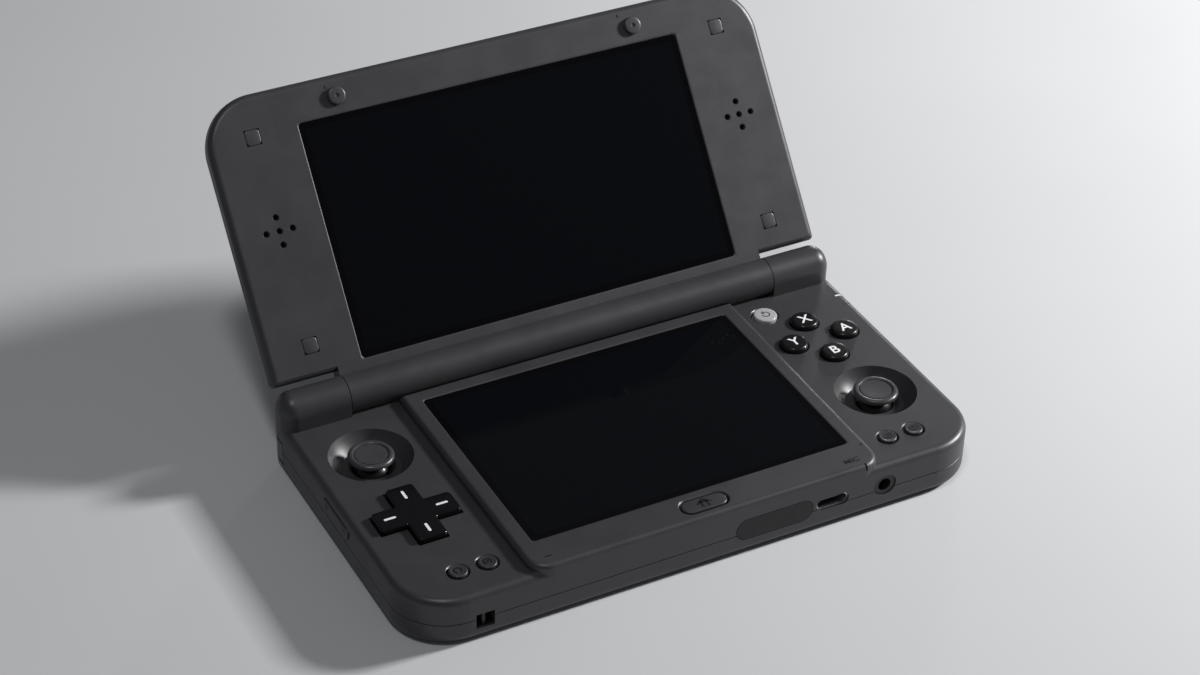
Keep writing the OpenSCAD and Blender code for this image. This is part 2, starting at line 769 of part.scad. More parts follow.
module main_board() {
  color([0.05, 0.25, 0.12]) difference() {
    union() {
      box([board_side - base_hw, board_front, board_z], [base_hw - board_side, board_back, board_top]);
      box([board_nose[0], y_front + 4, board_z], [board_nose[1], board_front + eps, board_top]);
      // chips
      box([-12, -6, board_top], [4, 10, board_top + chip_h]);
      box([12, -4, board_top], [24, 6, board_top + chip_h - 0.1]);
      box([-34, 0, board_top], [-24, 12, board_top + chip_h - 0.1]);
    }
    for (p = base_posts) rod(p[0], p[1], post_r + 0.3, 0, big);
    // room for the headphone jack, the USB-C receptacle and the thumbsticks
    box([jack_x - 3.6, y_front, 0], [jack_x + 3.6, y_front + jack_l + 3, big]);
    box([usb_x - 4.7, y_front, 0], [usb_x + 4.7, y_front + 8.7, big]);
    for (s = [-1, 1]) stick_places(s)
      box([-stick_house / 2 - 0.3, -stick_house / 2 - 0.3, 0],
          [stick_house / 2 + 0.3, stick_house / 2 + 0.3, big]);
  }
}

module battery_pack() {
  color([0.15, 0.15, 0.3]) slab(battery_hw, board_front + 7.4, board_back - 4, 1.5, 1.5,
                                floor_t + 0.05, board_z - battery_gap, 1, 0);
}

module cooling_plate() {
  color([0.7, 0.45, 0.3]) {
    z = board_top + chip_h + 0.05;
    box([-cooling_hw, -cooling_hd, z], [cooling_hw, cooling_hd, z + cooling_t]);
    for (s = [-1, 1]) mirror([s > 0 ? 0 : 1, 0, 0])
      box([cooling_hw - cooling_foot[0], -cooling_hd, board_top],
          [cooling_hw, cooling_foot[1] - cooling_hd, z + eps]);
  }
}

// Half of a rounded tube along Y: the round end of a receptacle.
module tube_end(x, turn, r, t, len) {
  translate([x, len, 0]) rotate([90, 0, 0]) rotate([0, 0, turn]) rotate_extrude(angle = 180)
    translate([r - t, 0]) square([t, len]);
}

// Receptacle with an open mouth, a tongue and two tabs on the board.
module usb_c_port() {
  l = 9;
  h = 3.26;
  t = 0.3;
  color(steel) translate([usb_x, y_front + 0.5, port_z]) {
    tube_end((l - h) / 2, -90, h / 2, t, 7.5);
    tube_end((h - l) / 2, 90, h / 2, t, 7.5);
    for (s = [-1, 1]) mirror([0, 0, s > 0 ? 0 : 1])
      box([(h - l) / 2, 0, h / 2 - t], [(l - h) / 2, 7.5, h / 2]);
    box([-3.2, 1.6, -0.35], [3.2, 7.2, 0.35]);
    box([-3.6, 6.2, -h / 2 + t - eps], [3.6, 7.5, h / 2 - t + eps]);
    for (s = [-1, 1]) mirror([s > 0 ? 0 : 1, 0, 0])
      box([l / 2 - t, 4.5, board_top - port_z], [l / 2 + 1.2, 6.5, board_top - port_z + 0.4]);
  }
}

module headphone_jack() {
  color([0.1, 0.1, 0.1]) difference() {
    union() {
      box([jack_x - 3, y_front + 2, jack_z - 2.6],
          [jack_x + 3, y_front + 2 + jack_l, jack_z + 2.6]);
      translate([jack_x, 0, jack_z]) obround_y(6.1, 5.5, y_front + 0.3, y_front + 2.1);
    }
    translate([jack_x, y_front + jack_l, jack_z]) rotate([90, 0, 0])
      cylinder(r = jack_r, h = jack_l + 1);
  }
}

module card_reader() {
  x0 = cover_x - 7.5;
  x1 = cover_x + 7.5;
  y0 = y_front + 3.6;
  color(steel) difference() {
    box([x0, y0, board_top], [x1, y0 + 15, board_top + 1.7]);
    box([x0 + 1, y0 - 1, board_top + 0.3], [x1 - 1, y0 + 14, board_top + 1.4]);
  }
}

module membrane_sheet(x, y, w, d) {
  box([x - w / 2, y - d / 2, membrane_z], [x + w / 2, y + d / 2, membrane_z + membrane_t]);
}

module dpad_membrane() {
  color(rubber) translate([-dpad_x, dpad_y, 0]) {
    membrane_sheet(0, 0, 2 * dpad_contact + 6.2, 2 * dpad_contact + 5.2);
    for (t = [0 : 90 : 270])
      rod(dpad_contact * cos(t), dpad_contact * sin(t), 2.4, membrane_z,
          membrane_z + membrane_t + dome_h);
    // post with the cup in which the ball sits
    difference() {
      rod(0, 0, 1.5, membrane_z, dpad_pivot - 1.2);
      translate([0, 0, dpad_pivot]) sphere(r = ball_r + run_gap, $fn = 64);
    }
  }
}

module face_button_membrane() {
  color(rubber) translate([face_x, face_y, 0]) {
    membrane_sheet(0, 0, 2 * face_pitch + 7.6, 2 * face_pitch + 7.6);
    for (t = [0 : 90 : 270]) rod(face_pitch * cos(t), face_pitch * sin(t), 2.6, membrane_z,
                                 membrane_z + membrane_t + dome_h);
  }
}

module switch_block(x, y, top) {
  box([x - 2, y - 2, board_top], [x + 2, y + 2, top - 0.5]);
  rod(x, y, 1, board_top, top);
}

module tact_switches() {
  color(steel) {
    for (s = [-1, 1], k = [0, 1]) {
      x = s * (small_x_out - k * small_pitch);
      box([x - 2, -small_y - 2, board_z], [x + 2, -small_y + 2, switch_top - 0.5]);
      rod(x, -small_y, 1, board_z, switch_top);
    }
    switch_block(return_x, return_y, switch_top);
    translate([0, y_front + home_y, 0]) {
      box([-2, -1.2, board_top], [2, 2, tray_under - 1.9]);
      rod(0, 0.3, 1, board_top, tray_under - 1.6);
    }
  }
  // small boards under the outer switches
  color([0.05, 0.25, 0.12]) for (s = [-1, 1])
    box([s * (small_x_out - small_pitch / 2) - 6.3, -small_y - 2.6, board_z - 1],
        [s * (small_x_out - small_pitch / 2) + 6.3, board_front - 0.2, board_z]);
}

// Light pipes; their faces follow the rounded edge of the deck.
module led_light_pipes() {
  color("white") intersection() {
    for (y = led_y) {
      box([led_x, y - led_w / 2, board_top + 0.1],
          [base_hw - base_wall - 0.2, y + led_w / 2, deck_h]);
      box([led_x, y - led_w / 2, led_root], [led_x + led_l, y + led_w / 2, deck_h]);
    }
    slab(base_hw - 0.05, y_front, y_back, front_r, back_r, seam_h, deck_h - 0.05, deck_edge_r);
  }
}

module strap_pin() {
  color(steel) rod(strap_x, y_front + 1.6, 0.7, strap_z[0], strap_z[1]);
}

module hinge_cartridge(s) {
  color(steel) mirror([s > 0 ? 0 : 1, 0, 0]) difference() {
    rod_x(cartridge_r, knuckle_in + 0.1, knuckle_in + 0.1 + cartridge_l, axis_y, axis_z);
    rod_x(pin_r + run_gap, knuckle_in, knuckle_in + cartridge_l - 1, axis_y, axis_z);
  }
}
module hinge_cartridge_left() { hinge_cartridge(-1); }
module hinge_cartridge_right() { hinge_cartridge(1); }

// ---------- thumbsticks ----------

// Open frame on the floor in which the saddle slides.
module stick_housing(s) {
  h = stick_house / 2;
  color([0.1, 0.1, 0.1]) stick_places(s) difference() {
    box([-h, -h, floor_t], [h, h, stick_pivot + 1.4]);
    box([-h + 1, -h + 1, 0], [h - 1, h - 1, big]);
  }
}
module stick_housing_left() { stick_housing(-1); }
module stick_housing_right() { stick_housing(1); }

// Saddle that slides down in the housing when the stick is clicked.
module stick_saddle(s) {
  h = stick_house / 2 - 1.3;
  color(steel) stick_places(s) difference() {
    box([-h, -h, stick_pivot - 2.6], [h, h, stick_pivot + 0.9]);
    box([-h + 1, -h + 1, 0], [h - 1, h - 1, big]);
    rod_x(trunnion_r + run_gap, -h - 1, h + 1, 0, stick_pivot);
  }
}
module stick_saddle_left() { stick_saddle(-1); }
module stick_saddle_right() { stick_saddle(1); }

// Ring that turns about X in the saddle and carries the shaft's cross pin.
module stick_cradle(s) {
  h = stick_house / 2 - 1.3;
  color(steel) stick_places(s) difference() {
    union() {
      rod(0, 0, stick_ring_r, stick_pivot - 0.9, stick_pivot + 0.9);
      rod_x(trunnion_r, -h + 0.1, h - 0.1, 0, stick_pivot);
    }
    rod(0, 0, stick_ring_r - 1, 0, big);
    translate([0, stick_ring_r + 1, stick_pivot]) rotate([90, 0, 0])
      cylinder(r = trunnion_r + run_gap, h = 2 * stick_ring_r + 2);
  }
}
module stick_cradle_left() { stick_cradle(-1); }
module stick_cradle_right() { stick_cradle(1); }

// Shaft with its cross pin and the dome that closes the bowl's throat.
module stick_shaft(s) {
  color(gloss) stick_places(s) {
    rod(0, 0, shaft_r, stick_pivot - 0.9, stick_top - 1);
    translate([0, stick_ring_r - 0.1, stick_pivot]) rotate([90, 0, 0])
      cylinder(r = trunnion_r, h = 2 * stick_ring_r - 0.2);
    translate([0, 0, stick_pivot]) difference() {
      sphere(r = dome_r, $fn = 96);
      sphere(r = dome_r - 0.6, $fn = 96);
      box([-9, -9, -9], [9, 9, 2.6]);
    }
  }
}
module stick_shaft_left() { stick_shaft(-1); }
module stick_shaft_right() { stick_shaft(1); }

// Cap with a rounded rim and a shallow dish.
module stick_cap(s) {
  r = stick_cap_d / 2;
  color(plastic) stick_places(s) difference() {
    union() {
      translate([0, 0, stick_top - cap_t]) rotate_extrude()
        difference() {
          union() {
            square([r - 0.8, cap_t]);
            translate([0, 0.8]) square([r, cap_t - 1.6]);
            for (z = [0.8, cap_t - 0.8]) translate([r - 0.8, z]) circle(0.8);
          }
          translate([-r * 2, -1]) square([r * 2, cap_t + 2]);
        }
    }
    rod(0, 0, r - 1.6, stick_top - 0.35, big);
    rod(0, 0, shaft_r + seat_gap, 0, stick_top - 0.9);
  }
}
module stick_cap_left() { stick_cap(-1); }
module stick_cap_right() { stick_cap(1); }

// ---------- direction pad and buttons ----------

// Ball on which the pad rocks.
module dpad_pivot() {
  color(steel) translate([-dpad_x, dpad_y, dpad_pivot]) sphere(r = ball_r, $fn = 64);
}

module dpad() {
  color(gloss) translate([-dpad_x, dpad_y, 0]) difference() {
    union() {
      dpad_cross(0, dpad_disc_top - 0.1, dpad_top);
      rod(0, 0, dpad_disc_r, dpad_disc_top - 1, dpad_disc_top);
    }
    translate([0, 0, dpad_pivot]) sphere(r = ball_r + run_gap, $fn = 64);
    rod(0, 0, ball_r + 0.7, 0, dpad_pivot - 0.85);
  }
}

module face_button(t) {
  color(gloss) placed_button(face_x + face_pitch * cos(t), face_y + face_pitch * sin(t),
                             face_d, face_stem, deck_h + face_rise, 0.9);
}
module button_a() { face_button(0); }
module button_x() { face_button(90); }
module button_y() { face_button(180); }
module button_b() { face_button(270); }

module return_button() {
  color([0.6, 0.6, 0.6]) placed_button(return_x, return_y, return_d, small_stem,
                                       deck_h + small_rise, 0.5);
}

module home_button() {
  color(plastic) translate([0, y_front + home_y, 0]) {
    obround(home_l, home_w, tray_under - 0.6, tray_z + 0.1);
    obround(home_l + 1, home_w + 0.9, tray_under - 1, tray_under - 0.1);
  }
}

module small_button(s, k) {
  color(plastic) placed_button(s * (small_x_out - k * small_pitch), -small_y, small_d,
                               small_stem, deck_h + small_rise, 0.6);
}
module small_button_left_outer() { small_button(-1, 0); }
module small_button_left_inner() { small_button(-1, 1); }
module small_button_right_inner() { small_button(1, 1); }
module small_button_right_outer() { small_button(1, 0); }

// ---------- edge controls ----------

module volume_rocker() {
  color(plastic) translate([-base_hw, volume_y, side_z]) rotate([0, 0, 90]) {
    obround_y(volume_l, volume_h, -2.3, 0.4);
    obround_y(volume_l + 1.6, volume_h + 1, -3, -2.2);
  }
}

module power_button() {
  color(plastic) translate([base_hw, volume_y, side_z]) rotate([0, 0, 90]) {
    obround_y(power_l, volume_h, -0.3, 2);
    obround_y(power_l + 1.4, volume_h + 1, 2, 2.6);
  }
}

// Outer shoulder button: wraps the back corner of the base and turns on an upright pin
// near the side wall.
module shoulder_outer() {
  color(gloss) difference() {
    intersection() {
      slab(base_hw, y_front, y_back + 0.6, front_r, back_r + 0.6, shoulder_bottom,
           shoulder_top, 0.6, 0.6);
      box([shoulder_x, shoulder_y, 0], [base_hw + 1, y_back + 1, big]);
    }
    difference() {
      box([shoulder_x - 1, shoulder_y - 1, shoulder_bottom + 1],
          [base_hw - shoulder_t, y_back - 1.2, shoulder_top - 1]);
      rod(shoulder_pin[0], shoulder_pin[1], shoulder_pin_r + 1, 0, big);
    }
    // the inner end swings into the base
    box([shoulder_x - 1, shoulder_y - 1, 0],
        [shoulder_pin[0] - shoulder_pin_r - 1.4, shoulder_y + 2, big]);
    rod(shoulder_pin[0], shoulder_pin[1], shoulder_pin_r + run_gap, 0, big);
  }
}
module shoulder_left_outer() { mirror([1, 0, 0]) shoulder_outer(); }
module shoulder_right_outer() { shoulder_outer(); }

module shoulder_inner() {
  y0 = shoulder_in + shoulder_travel + 0.2;
  color(gloss) difference() {
    union() {
      box([inner_x, y0, shoulder_bottom], [inner_x + inner_l, y_back + 0.8, shoulder_top]);
      box([inner_x - 0.8, y0, shoulder_bottom],
          [inner_x + inner_l + 0.8, y_back - base_wall - 0.1, shoulder_top]);
    }
    box([inner_x + 1, shoulder_in, shoulder_bottom + 1],
        [inner_x + inner_l - 1, y_back - 0.6, shoulder_top - 1]);
  }
}
module shoulder_left_inner() { mirror([1, 0, 0]) shoulder_inner(); }
module shoulder_right_inner() { shoulder_inner(); }

// Cover that pulls out of the card slot.
module card_slot_cover() {
  color(rubber) translate([cover_x, 0, port_z]) {
    obround_y(cover_l, cover_h, y_front - 0.05, y_front + 0.95);
    obround_y(cover_l - 3.4, cover_h - 2.4, y_front + 0.95, y_front + 2.8);
  }
}

// ---------- lid ----------

// Rounded lid outline; the lower corners beside the barrel are nearly square.
module lid_slab(inset, z0, z1, rt, ru) {
  slab(lid_hw - inset, ear_v + inset, lid_reach - inset, 1.2, lid_r - inset, z0, z1, rt, ru);
}

module cap_pocket() {
  s = cap_s / 2 + 0.06;
  box([-s, -s, face_z - 0.8], [s, s, 9]);
  rod(0, 0, head_r + 0.1, face_z - 1.8, 9);
  rod(0, 0, pilot_r + 0.1, lid_seam - 1, 9);
}

module speaker_holes() {
  for (p = speaker_pitch * [[0, 0], [1, 0], [-1, 0], [0, 1], [0, -1]]) {
    rod(p[0], p[1], speaker_hole_d / 2, bezel_under - 1, 9);
    hole_edge(p[0], p[1], speaker_hole_d / 2, face_z, 0.2);
  }
}

module up_window() {
  g = glass_gap;
  l = glass_ledge;
  translate([0, up_glass_mid, 0]) {
    box([-up_glass_w / 2 - g, -up_glass_h / 2 - g, up_seat], [up_glass_w / 2 + g, up_glass_h / 2 + g, 9]);
    box([l - up_glass_w / 2, l - up_glass_h / 2, -9], [up_glass_w / 2 - l, up_glass_h / 2 - l, 9]);
    window_edge(up_glass_w + 2 * g, up_glass_h + 2 * g, face_z, glass_chamfer);
  }
}

module lid_front_bezel() {
  color(plastic) on_lid() difference() {
    union() {
      difference() {
        lid_slab(0, lid_seam, face_z, bezel_edge_r, seam_r);
        lid_slab(lid_wall, lid_seam - 1, bezel_under, 0, 0);
      }
      rod_x(barrel_r, -barrel_hl, barrel_hl, 0, 0);
      box([-barrel_hl, 0, web_back], [barrel_hl, web_v, face_z]);
      each_cap() rod(0, 0, 2.6, lid_seam, bezel_under + 0.2);
    }
    up_window();
    each_cap() cap_pocket();
    for (s = [-1, 1]) {
      translate([s * speaker_x, speaker_v, 0]) speaker_holes();
      rod(s * bumper_x, bumper_v, bumper_d / 2 + 0.03, face_z - 0.6, 9);
      mirror([s > 0 ? 0 : 1, 0, 0])
        rod_x(pin_r + seat_gap, barrel_hl - pin_in_barrel, barrel_hl + 1, 0, 0);
    }
    // hollow middle of the barrel and the way of the flex cable into the lid
    rod_x(3.3, -barrel_hl + pin_in_barrel + 2, barrel_hl - pin_in_barrel - 2, 0, 0);
    box([-12, 0, web_back + 1.3], [12, web_v + 1, web_back + 2.1]);
  }
}

module lid_back_cover() {
  color(plastic) on_lid() difference() {
    union() {
      difference() {
        lid_slab(0, lid_back, lid_seam, seam_r, cover_edge_r);
        lid_slab(lid_wall, cover_inner, lid_seam + 1, 0, 0);
      }
      each_cap() rod(0, 0, 2.2, cover_inner - 0.2, lid_seam);
    }
    // notch for the web of the barrel
    box([-barrel_hl - 0.05, 0, web_back - 0.05], [barrel_hl + 0.05, web_v + 0.05, 9]);
    each_cap() rod(0, 0, pilot_r, cover_inner + 0.2, 9);
  }
}

module upper_screen_glass() {
  color(glass_color) on_lid() translate([0, up_glass_mid, 0])
    box([-up_glass_w / 2, -up_glass_h / 2, up_seat],
        [up_glass_w / 2, up_glass_h / 2, up_seat + glass_t]);
}

module upper_display_panel() {
  m = 0.4;
  color([0.1, 0.1, 0.12]) on_lid()
    box([-up_glass_w / 2 - m, web_v + 0.4, bezel_under - 0.05 - panel_t],
        [up_glass_w / 2 + m, up_glass_v + up_glass_h + m, bezel_under - 0.05]);
}

module speaker(s) {
  color([0.15, 0.15, 0.15]) on_lid() translate([s * speaker_x, speaker_v, 0]) {
    box([-7, -10, cover_inner + 0.1], [7, 10, bezel_under - 0.6]);
    rod(0, 0, 5.6, bezel_under - 1, bezel_under - 0.1);
  }
}
module speaker_left() { speaker(-1); }
module speaker_right() { speaker(1); }

module lid_screw_caps() {
  s = cap_s / 2;
  color(rubber) on_lid() each_cap() box([-s, -s, face_z - 0.78], [s, s, face_z]);
}

module lid_bumpers() {
  r = bumper_d / 2;
  color(rubber) on_lid() for (s = [-1, 1]) translate([s * bumper_x, bumper_v, face_z - 0.58])
    difference() {
      rotate_extrude() difference() {
        union() {
          square([r, 0.58 + bumper_h - 0.4]);
          square([r - 0.4, 0.58 + bumper_h]);
          translate([r - 0.4, 0.58 + bumper_h - 0.4]) circle(0.4);
        }
        translate([-9, -1]) square([9, 9]);
      }
      rod(0, 0, 0.5, 0.58 + bumper_h - 0.4, 9);
    }
}

module lid_screws() {
  color(steel) on_lid() each_cap() {
    rod(0, 0, head_r, face_z - 1.75, face_z - 0.85);
    rod(0, 0, screw_r - 0.02, cover_inner + 0.5, face_z - 1.7);
  }
}

module hinge_pin(s) {
  color(steel) mirror([s > 0 ? 0 : 1, 0, 0])
    rod_x(pin_r, barrel_hl - pin_in_barrel + 0.1, knuckle_in + cartridge_l - 1.4, axis_y, axis_z);
}
module hinge_pin_left() { hinge_pin(-1); }
module hinge_pin_right() { hinge_pin(1); }

// Flat cable wound in the barrel, with its tail led into the lid.
module hinge_flex_cable() {
  color([0.75, 0.5, 0.2]) on_lid() {
    difference() {
      rod_x(3.1, -11, 11, 0, 0);
      rod_x(2.8, -12, 12, 0, 0);
    }
    box([-11, 0.6, web_back + 1.5], [11, web_v + 0.2, web_back + 1.9]);
  }
}

base_top_shell();
base_bottom_cover();
lower_screen_glass();
lower_display_panel();
main_board();
battery_pack();
cooling_plate();
base_screws();
rubber_feet();
usb_c_port();
headphone_jack();
card_reader();
dpad_membrane();
face_button_membrane();
tact_switches();
led_light_pipes();
strap_pin();
hinge_cartridge_left();
hinge_cartridge_right();
stick_housing_left();
stick_housing_right();
lid_front_bezel();
lid_back_cover();
upper_screen_glass();
upper_display_panel();
speaker_left();
speaker_right();
lid_screw_caps();
lid_bumpers();
lid_screws();
hinge_pin_left();
hinge_pin_right();
hinge_flex_cable();
dpad_pivot();
dpad();
button_x();
button_a();
button_b();
button_y();
return_button();
home_button();
small_button_left_outer();
small_button_left_inner();
small_button_right_inner();
small_button_right_outer();
volume_rocker();
power_button();
shoulder_left_outer();
shoulder_left_inner();
shoulder_right_outer();
shoulder_right_inner();
card_slot_cover();
stick_saddle_left();
stick_cradle_left();
stick_shaft_left();
stick_cap_left();
stick_saddle_right();
stick_cradle_right();
stick_shaft_right();
stick_cap_right();
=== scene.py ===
# %% [markdown]
# # Clamshell handheld game console
# This file dresses a finished mechanical model of a folding game console. The
# mechanical model gives the exact solids and the joints. Blender gives the
# surfaces: the fine grain of charcoal plastic, polished black keys, dark glass,
# printed legends and the small rims that tell a moulded product from a block.
# The frame is loaded first, because every piece below is placed in its
# coordinates: metres, +X to the right, +Y towards the hinge, +Z up.

# %% Load the frame
import math

import bmesh
import bpy
from mathutils import Matrix, Vector


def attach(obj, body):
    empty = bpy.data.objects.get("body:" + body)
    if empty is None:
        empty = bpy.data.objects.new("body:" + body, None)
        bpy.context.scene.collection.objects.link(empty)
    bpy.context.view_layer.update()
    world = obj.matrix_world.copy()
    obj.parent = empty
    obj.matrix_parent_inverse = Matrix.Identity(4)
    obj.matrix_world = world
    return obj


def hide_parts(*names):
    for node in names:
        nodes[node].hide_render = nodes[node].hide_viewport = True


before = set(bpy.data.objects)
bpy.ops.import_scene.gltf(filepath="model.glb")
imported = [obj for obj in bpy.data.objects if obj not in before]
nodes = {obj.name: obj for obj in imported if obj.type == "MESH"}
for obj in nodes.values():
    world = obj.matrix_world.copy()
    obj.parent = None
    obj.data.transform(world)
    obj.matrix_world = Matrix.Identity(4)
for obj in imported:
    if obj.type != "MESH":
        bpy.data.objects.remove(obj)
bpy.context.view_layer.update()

MM = 0.001

# %% [markdown]
# ## Where things stand
# The lid is drawn in its own coordinates: x across, v along the lid from the
# hinge axis, w out of its face. One matrix turns those into the frame, so lid
# pieces can be modelled flat and stood up at the end.

# %% Places on the console
DECK = 13.4            # height of the control deck, mm
TRAY = 15.4            # height of the display tray, mm
FLOOR = -0.25          # the rubber feet stand this far below the underside
SIDE = 79.5            # the side walls, from the middle
HINGE = Vector((0.0, 38.05, 17.1))
LID_OPEN = 127.6       # degrees from closed
FACE = 0.4             # lid face in front of the hinge axis, mm

LID = (Matrix.Translation(HINGE * MM)
       @ Matrix.Rotation(math.radians(180.0 - LID_OPEN), 4, "X"))

STICKS = {"left": (-63.6, 16.9), "right": (63.6, -14.8)}
DPAD = (-63.5, -9.6)
FACE_BUTTONS = {"x": (62.6, 19.1), "a": (70.3, 11.4),
                "b": (62.6, 3.7), "y": (54.9, 11.4)}
SMALL_BUTTONS = {"left_outer": (-63.4, -33.0), "left_inner": (-55.7, -33.0),
                 "right_inner": (55.7, -33.0), "right_outer": (63.4, -33.0)}
RETURN_BUTTON = (54.8, 26.3)
HOME_BUTTON = (0.0, -37.9)
print("lid face normal:", [round(c, 3) for c in (LID.to_3x3() @ Vector((0, 0, 1)))])

# %% [markdown]
# ## Camera
# The camera looks down on the console from the front left with a long lens. Its
# place and turn are plain numbers: the three columns of its matrix are the
# directions to its right, up and back.

# %% Camera
scene = bpy.context.scene
camera_data = bpy.data.cameras.new("camera")
camera_data.lens = 85.27           # mm, on a sensor 36 mm wide
camera_data.sensor_width = 36.0
camera_data.clip_end = 20.0        # m
camera = bpy.data.objects.new("camera", camera_data)
CAM_PLACE = Vector((-280.27, -497.96, 444.44))
CAM_RIGHT = Vector((0.885721, -0.463659, 0.022776))
CAM_UP = Vector((0.251627, 0.520752, 0.815783))
CAM_TURN = Matrix((CAM_RIGHT, CAM_UP, CAM_RIGHT.cross(CAM_UP))).transposed()
camera.matrix_world = Matrix.Translation(CAM_PLACE * MM) @ CAM_TURN.to_4x4()
scene.collection.objects.link(camera)
scene.camera = camera
print("camera at", [round(c, 3) for c in camera.matrix_world.translation])

# %% [markdown]
# ## Light
# The key lamp stands to the right, low enough that the keys cast short shadows to
# the left and every rounded edge on the right gets a bright line. A weaker lamp
# hangs overhead, a little to the front left: it puts the soft line on the hinge
# barrel and the bright spot on each knuckle's end. A low rim lamp behind on the
# right draws the thin bright lines along the tray and the deck. None of them
# stands where a screen or a polished key would mirror it into the camera, and the
# even grey of the world opens up the dark sides.
# The levels stay plain, so that a colour renders about as it is written.

# %% Lamps and world
scene.view_settings.view_transform = "Standard"
MIDDLE = (0, 0, 20)                     # what most lamps face, mm
ROOM_GREY = (0.10, 0.103, 0.112, 1)
LAMPS = {                               # place, aim, side (mm) and watts
    "key_lamp": ((780, -105, 433), MIDDLE, 120, 10.6),
    "top_lamp": ((-250, -250, 1120), MIDDLE, 130, 2.4),
    "rim_lamp": ((590, 640, 125), (20, 0, 20), 100, 0.9),
}


def soft_lamp(name, place, aim, size, watts):
    """A square area lamp at place, facing aim, both in millimetres."""
    lamp = bpy.data.lights.new(name, "AREA")
    lamp.shape = "SQUARE"
    lamp.size = size * MM
    lamp.energy = watts
    holder = bpy.data.objects.new(name, lamp)
    way = (Vector(place) - Vector(aim)).normalized()
    holder.matrix_world = (Matrix.Translation(Vector(place) * MM)
                           @ way.to_track_quat("Z", "Y").to_matrix().to_4x4())
    scene.collection.objects.link(holder)


for name, lamp in LAMPS.items():
    soft_lamp(name, *lamp)

world = bpy.data.worlds.new("room")
world.use_nodes = True
background = world.node_tree.nodes["Background"].inputs
background["Color"].default_value = ROOM_GREY
background["Strength"].default_value = 1.0
scene.world = world
print("lamps:", list(LAMPS))

# %% [markdown]
# ## Node trees written as sentences
# A material is a small circuit. `Board.node` adds one node from its type, its
# settings and the values of its sockets, and `Wire` is what comes out of it.
# Arithmetic on a wire adds the Math nodes, so `0.3 + mask * 0.2` is written so.
# The same board also builds the Geometry Nodes trees further down.

# %% Board and wire
class Wire:
    """One output socket. Arithmetic on it adds Math nodes to its board."""

    def __init__(self, board, socket):
        self.board, self.socket = board, socket

    def math(self, operation, *values):
        return self.board.node("ShaderNodeMath", {"operation": operation},
                               dict(enumerate(values)))

    def __add__(self, other):
        return self.math("ADD", self, other)

    def __sub__(self, other):
        return self.math("SUBTRACT", self, other)

    def __mul__(self, other):
        return self.math("MULTIPLY", self, other)

    def above(self, other):
        return self.math("GREATER_THAN", self, other)

    def below(self, other):
        return self.math("LESS_THAN", self, other)

    __radd__ = __add__


class Board:
    """A node tree being wired."""

    def __init__(self, tree):
        self.tree = tree

    def node(self, kind, settings=None, inputs=None, output=0):
        made = self.tree.nodes.new(kind)
        for key, value in (settings or {}).items():
            if key == "stops":
                self.set_stops(made.color_ramp, value)
            else:
                setattr(made, key, value)
        for key, value in (inputs or {}).items():
            self.put(made.inputs[key], value)
        return Wire(self, made.outputs[output])

    def put(self, socket, value):
        if isinstance(value, Wire):
            self.tree.links.new(value.socket, socket)
        elif socket.type == "RGBA" and len(value) == 3:
            socket.default_value = (*value, 1.0)
        else:
            socket.default_value = value

    def set_stops(self, ramp, stops):
        while len(ramp.elements) < len(stops):
            ramp.elements.new(0.5)
        for element, (place, shade) in zip(ramp.elements, stops):
            element.position = place
            element.color = (shade, shade, shade, 1.0)


print("node helpers ready")

# %% [markdown]
# ## A finish
# Every finish starts from the Principled shader and from Object coordinates,
# which are metres here, so a noise scale is simply one over the grain size. The
# constants go straight on the shader's own sockets.

# %% The finish class
class Finish(Board):
    """A Principled material, with helpers for grain, mottling and bump."""

    def __init__(self, name, **constants):
        self.material = bpy.data.materials.new(name)
        self.material.use_nodes = True
        super().__init__(self.material.node_tree)
        self.shader = self.tree.nodes["Principled BSDF"]
        for key, value in constants.items():
            self.put(self.shader.inputs[key.replace("_", " ")], value)
        self.place = self.node("ShaderNodeTexCoord", output="Object")

    def noise(self, size, detail=2.0, roughness=0.5):
        """Noise from 0 to 1 whose spots are about size millimetres."""
        return self.node("ShaderNodeTexNoise", {}, {
            "Vector": self.place, "Scale": 1.0 / (size * MM),
            "Detail": detail, "Roughness": roughness})

    def ramp(self, value, *stops):
        return self.node("ShaderNodeValToRGB", {"stops": stops}, {"Fac": value})

    def mix(self, mask, first, second):
        """Colour that goes from first to second as mask goes from 0 to 1."""
        return self.node("ShaderNodeMix", {"data_type": "RGBA"},
                         {0: mask, 6: first, 7: second}, output=2)

    def set(self, socket, value):
        self.put(self.shader.inputs[socket], value)
        return self

    def bump(self, height, depth, strength=1.0):
        """Relief of depth millimetres where height goes from 0 to 1."""
        relief = self.node("ShaderNodeBump", {}, {
            "Height": height, "Distance": depth * MM, "Strength": strength})
        return self.set("Normal", relief)


print("finish class ready")

# %% [markdown]
# ## Charcoal plastic
# The shells are spark-eroded ABS: a fine even grain about a third of a
# millimetre across, dark grey, neither shiny nor chalky. Three noises do it. The
# fine one gives the grain in the bump and speckles the colour a little, a wider
# one makes the sheen uneven where the plastic flowed and where hands polish it,
# and a very wide one keeps a large flat face from being one single grey.

# %% Charcoal plastic
def grained_plastic(name, dark, light, rough, grain=0.35, depth=0.012):
    finish = Finish(name, Specular_IOR_Level=0.5)
    fine = finish.noise(grain, detail=3.0, roughness=0.65)
    handled = finish.noise(9.0, detail=4.0, roughness=0.6)
    broad = finish.noise(60.0, detail=2.0)
    shade = finish.ramp(fine * 0.35 + handled * 0.3 + broad * 0.35,
                        (0.36, 0.0), (0.64, 1.0))
    finish.set("Base Color", finish.mix(shade, dark, light))
    finish.set("Roughness", rough + (handled - 0.5) * 0.16 + (fine - 0.5) * 0.08)
    finish.bump(fine, depth)
    return finish.material


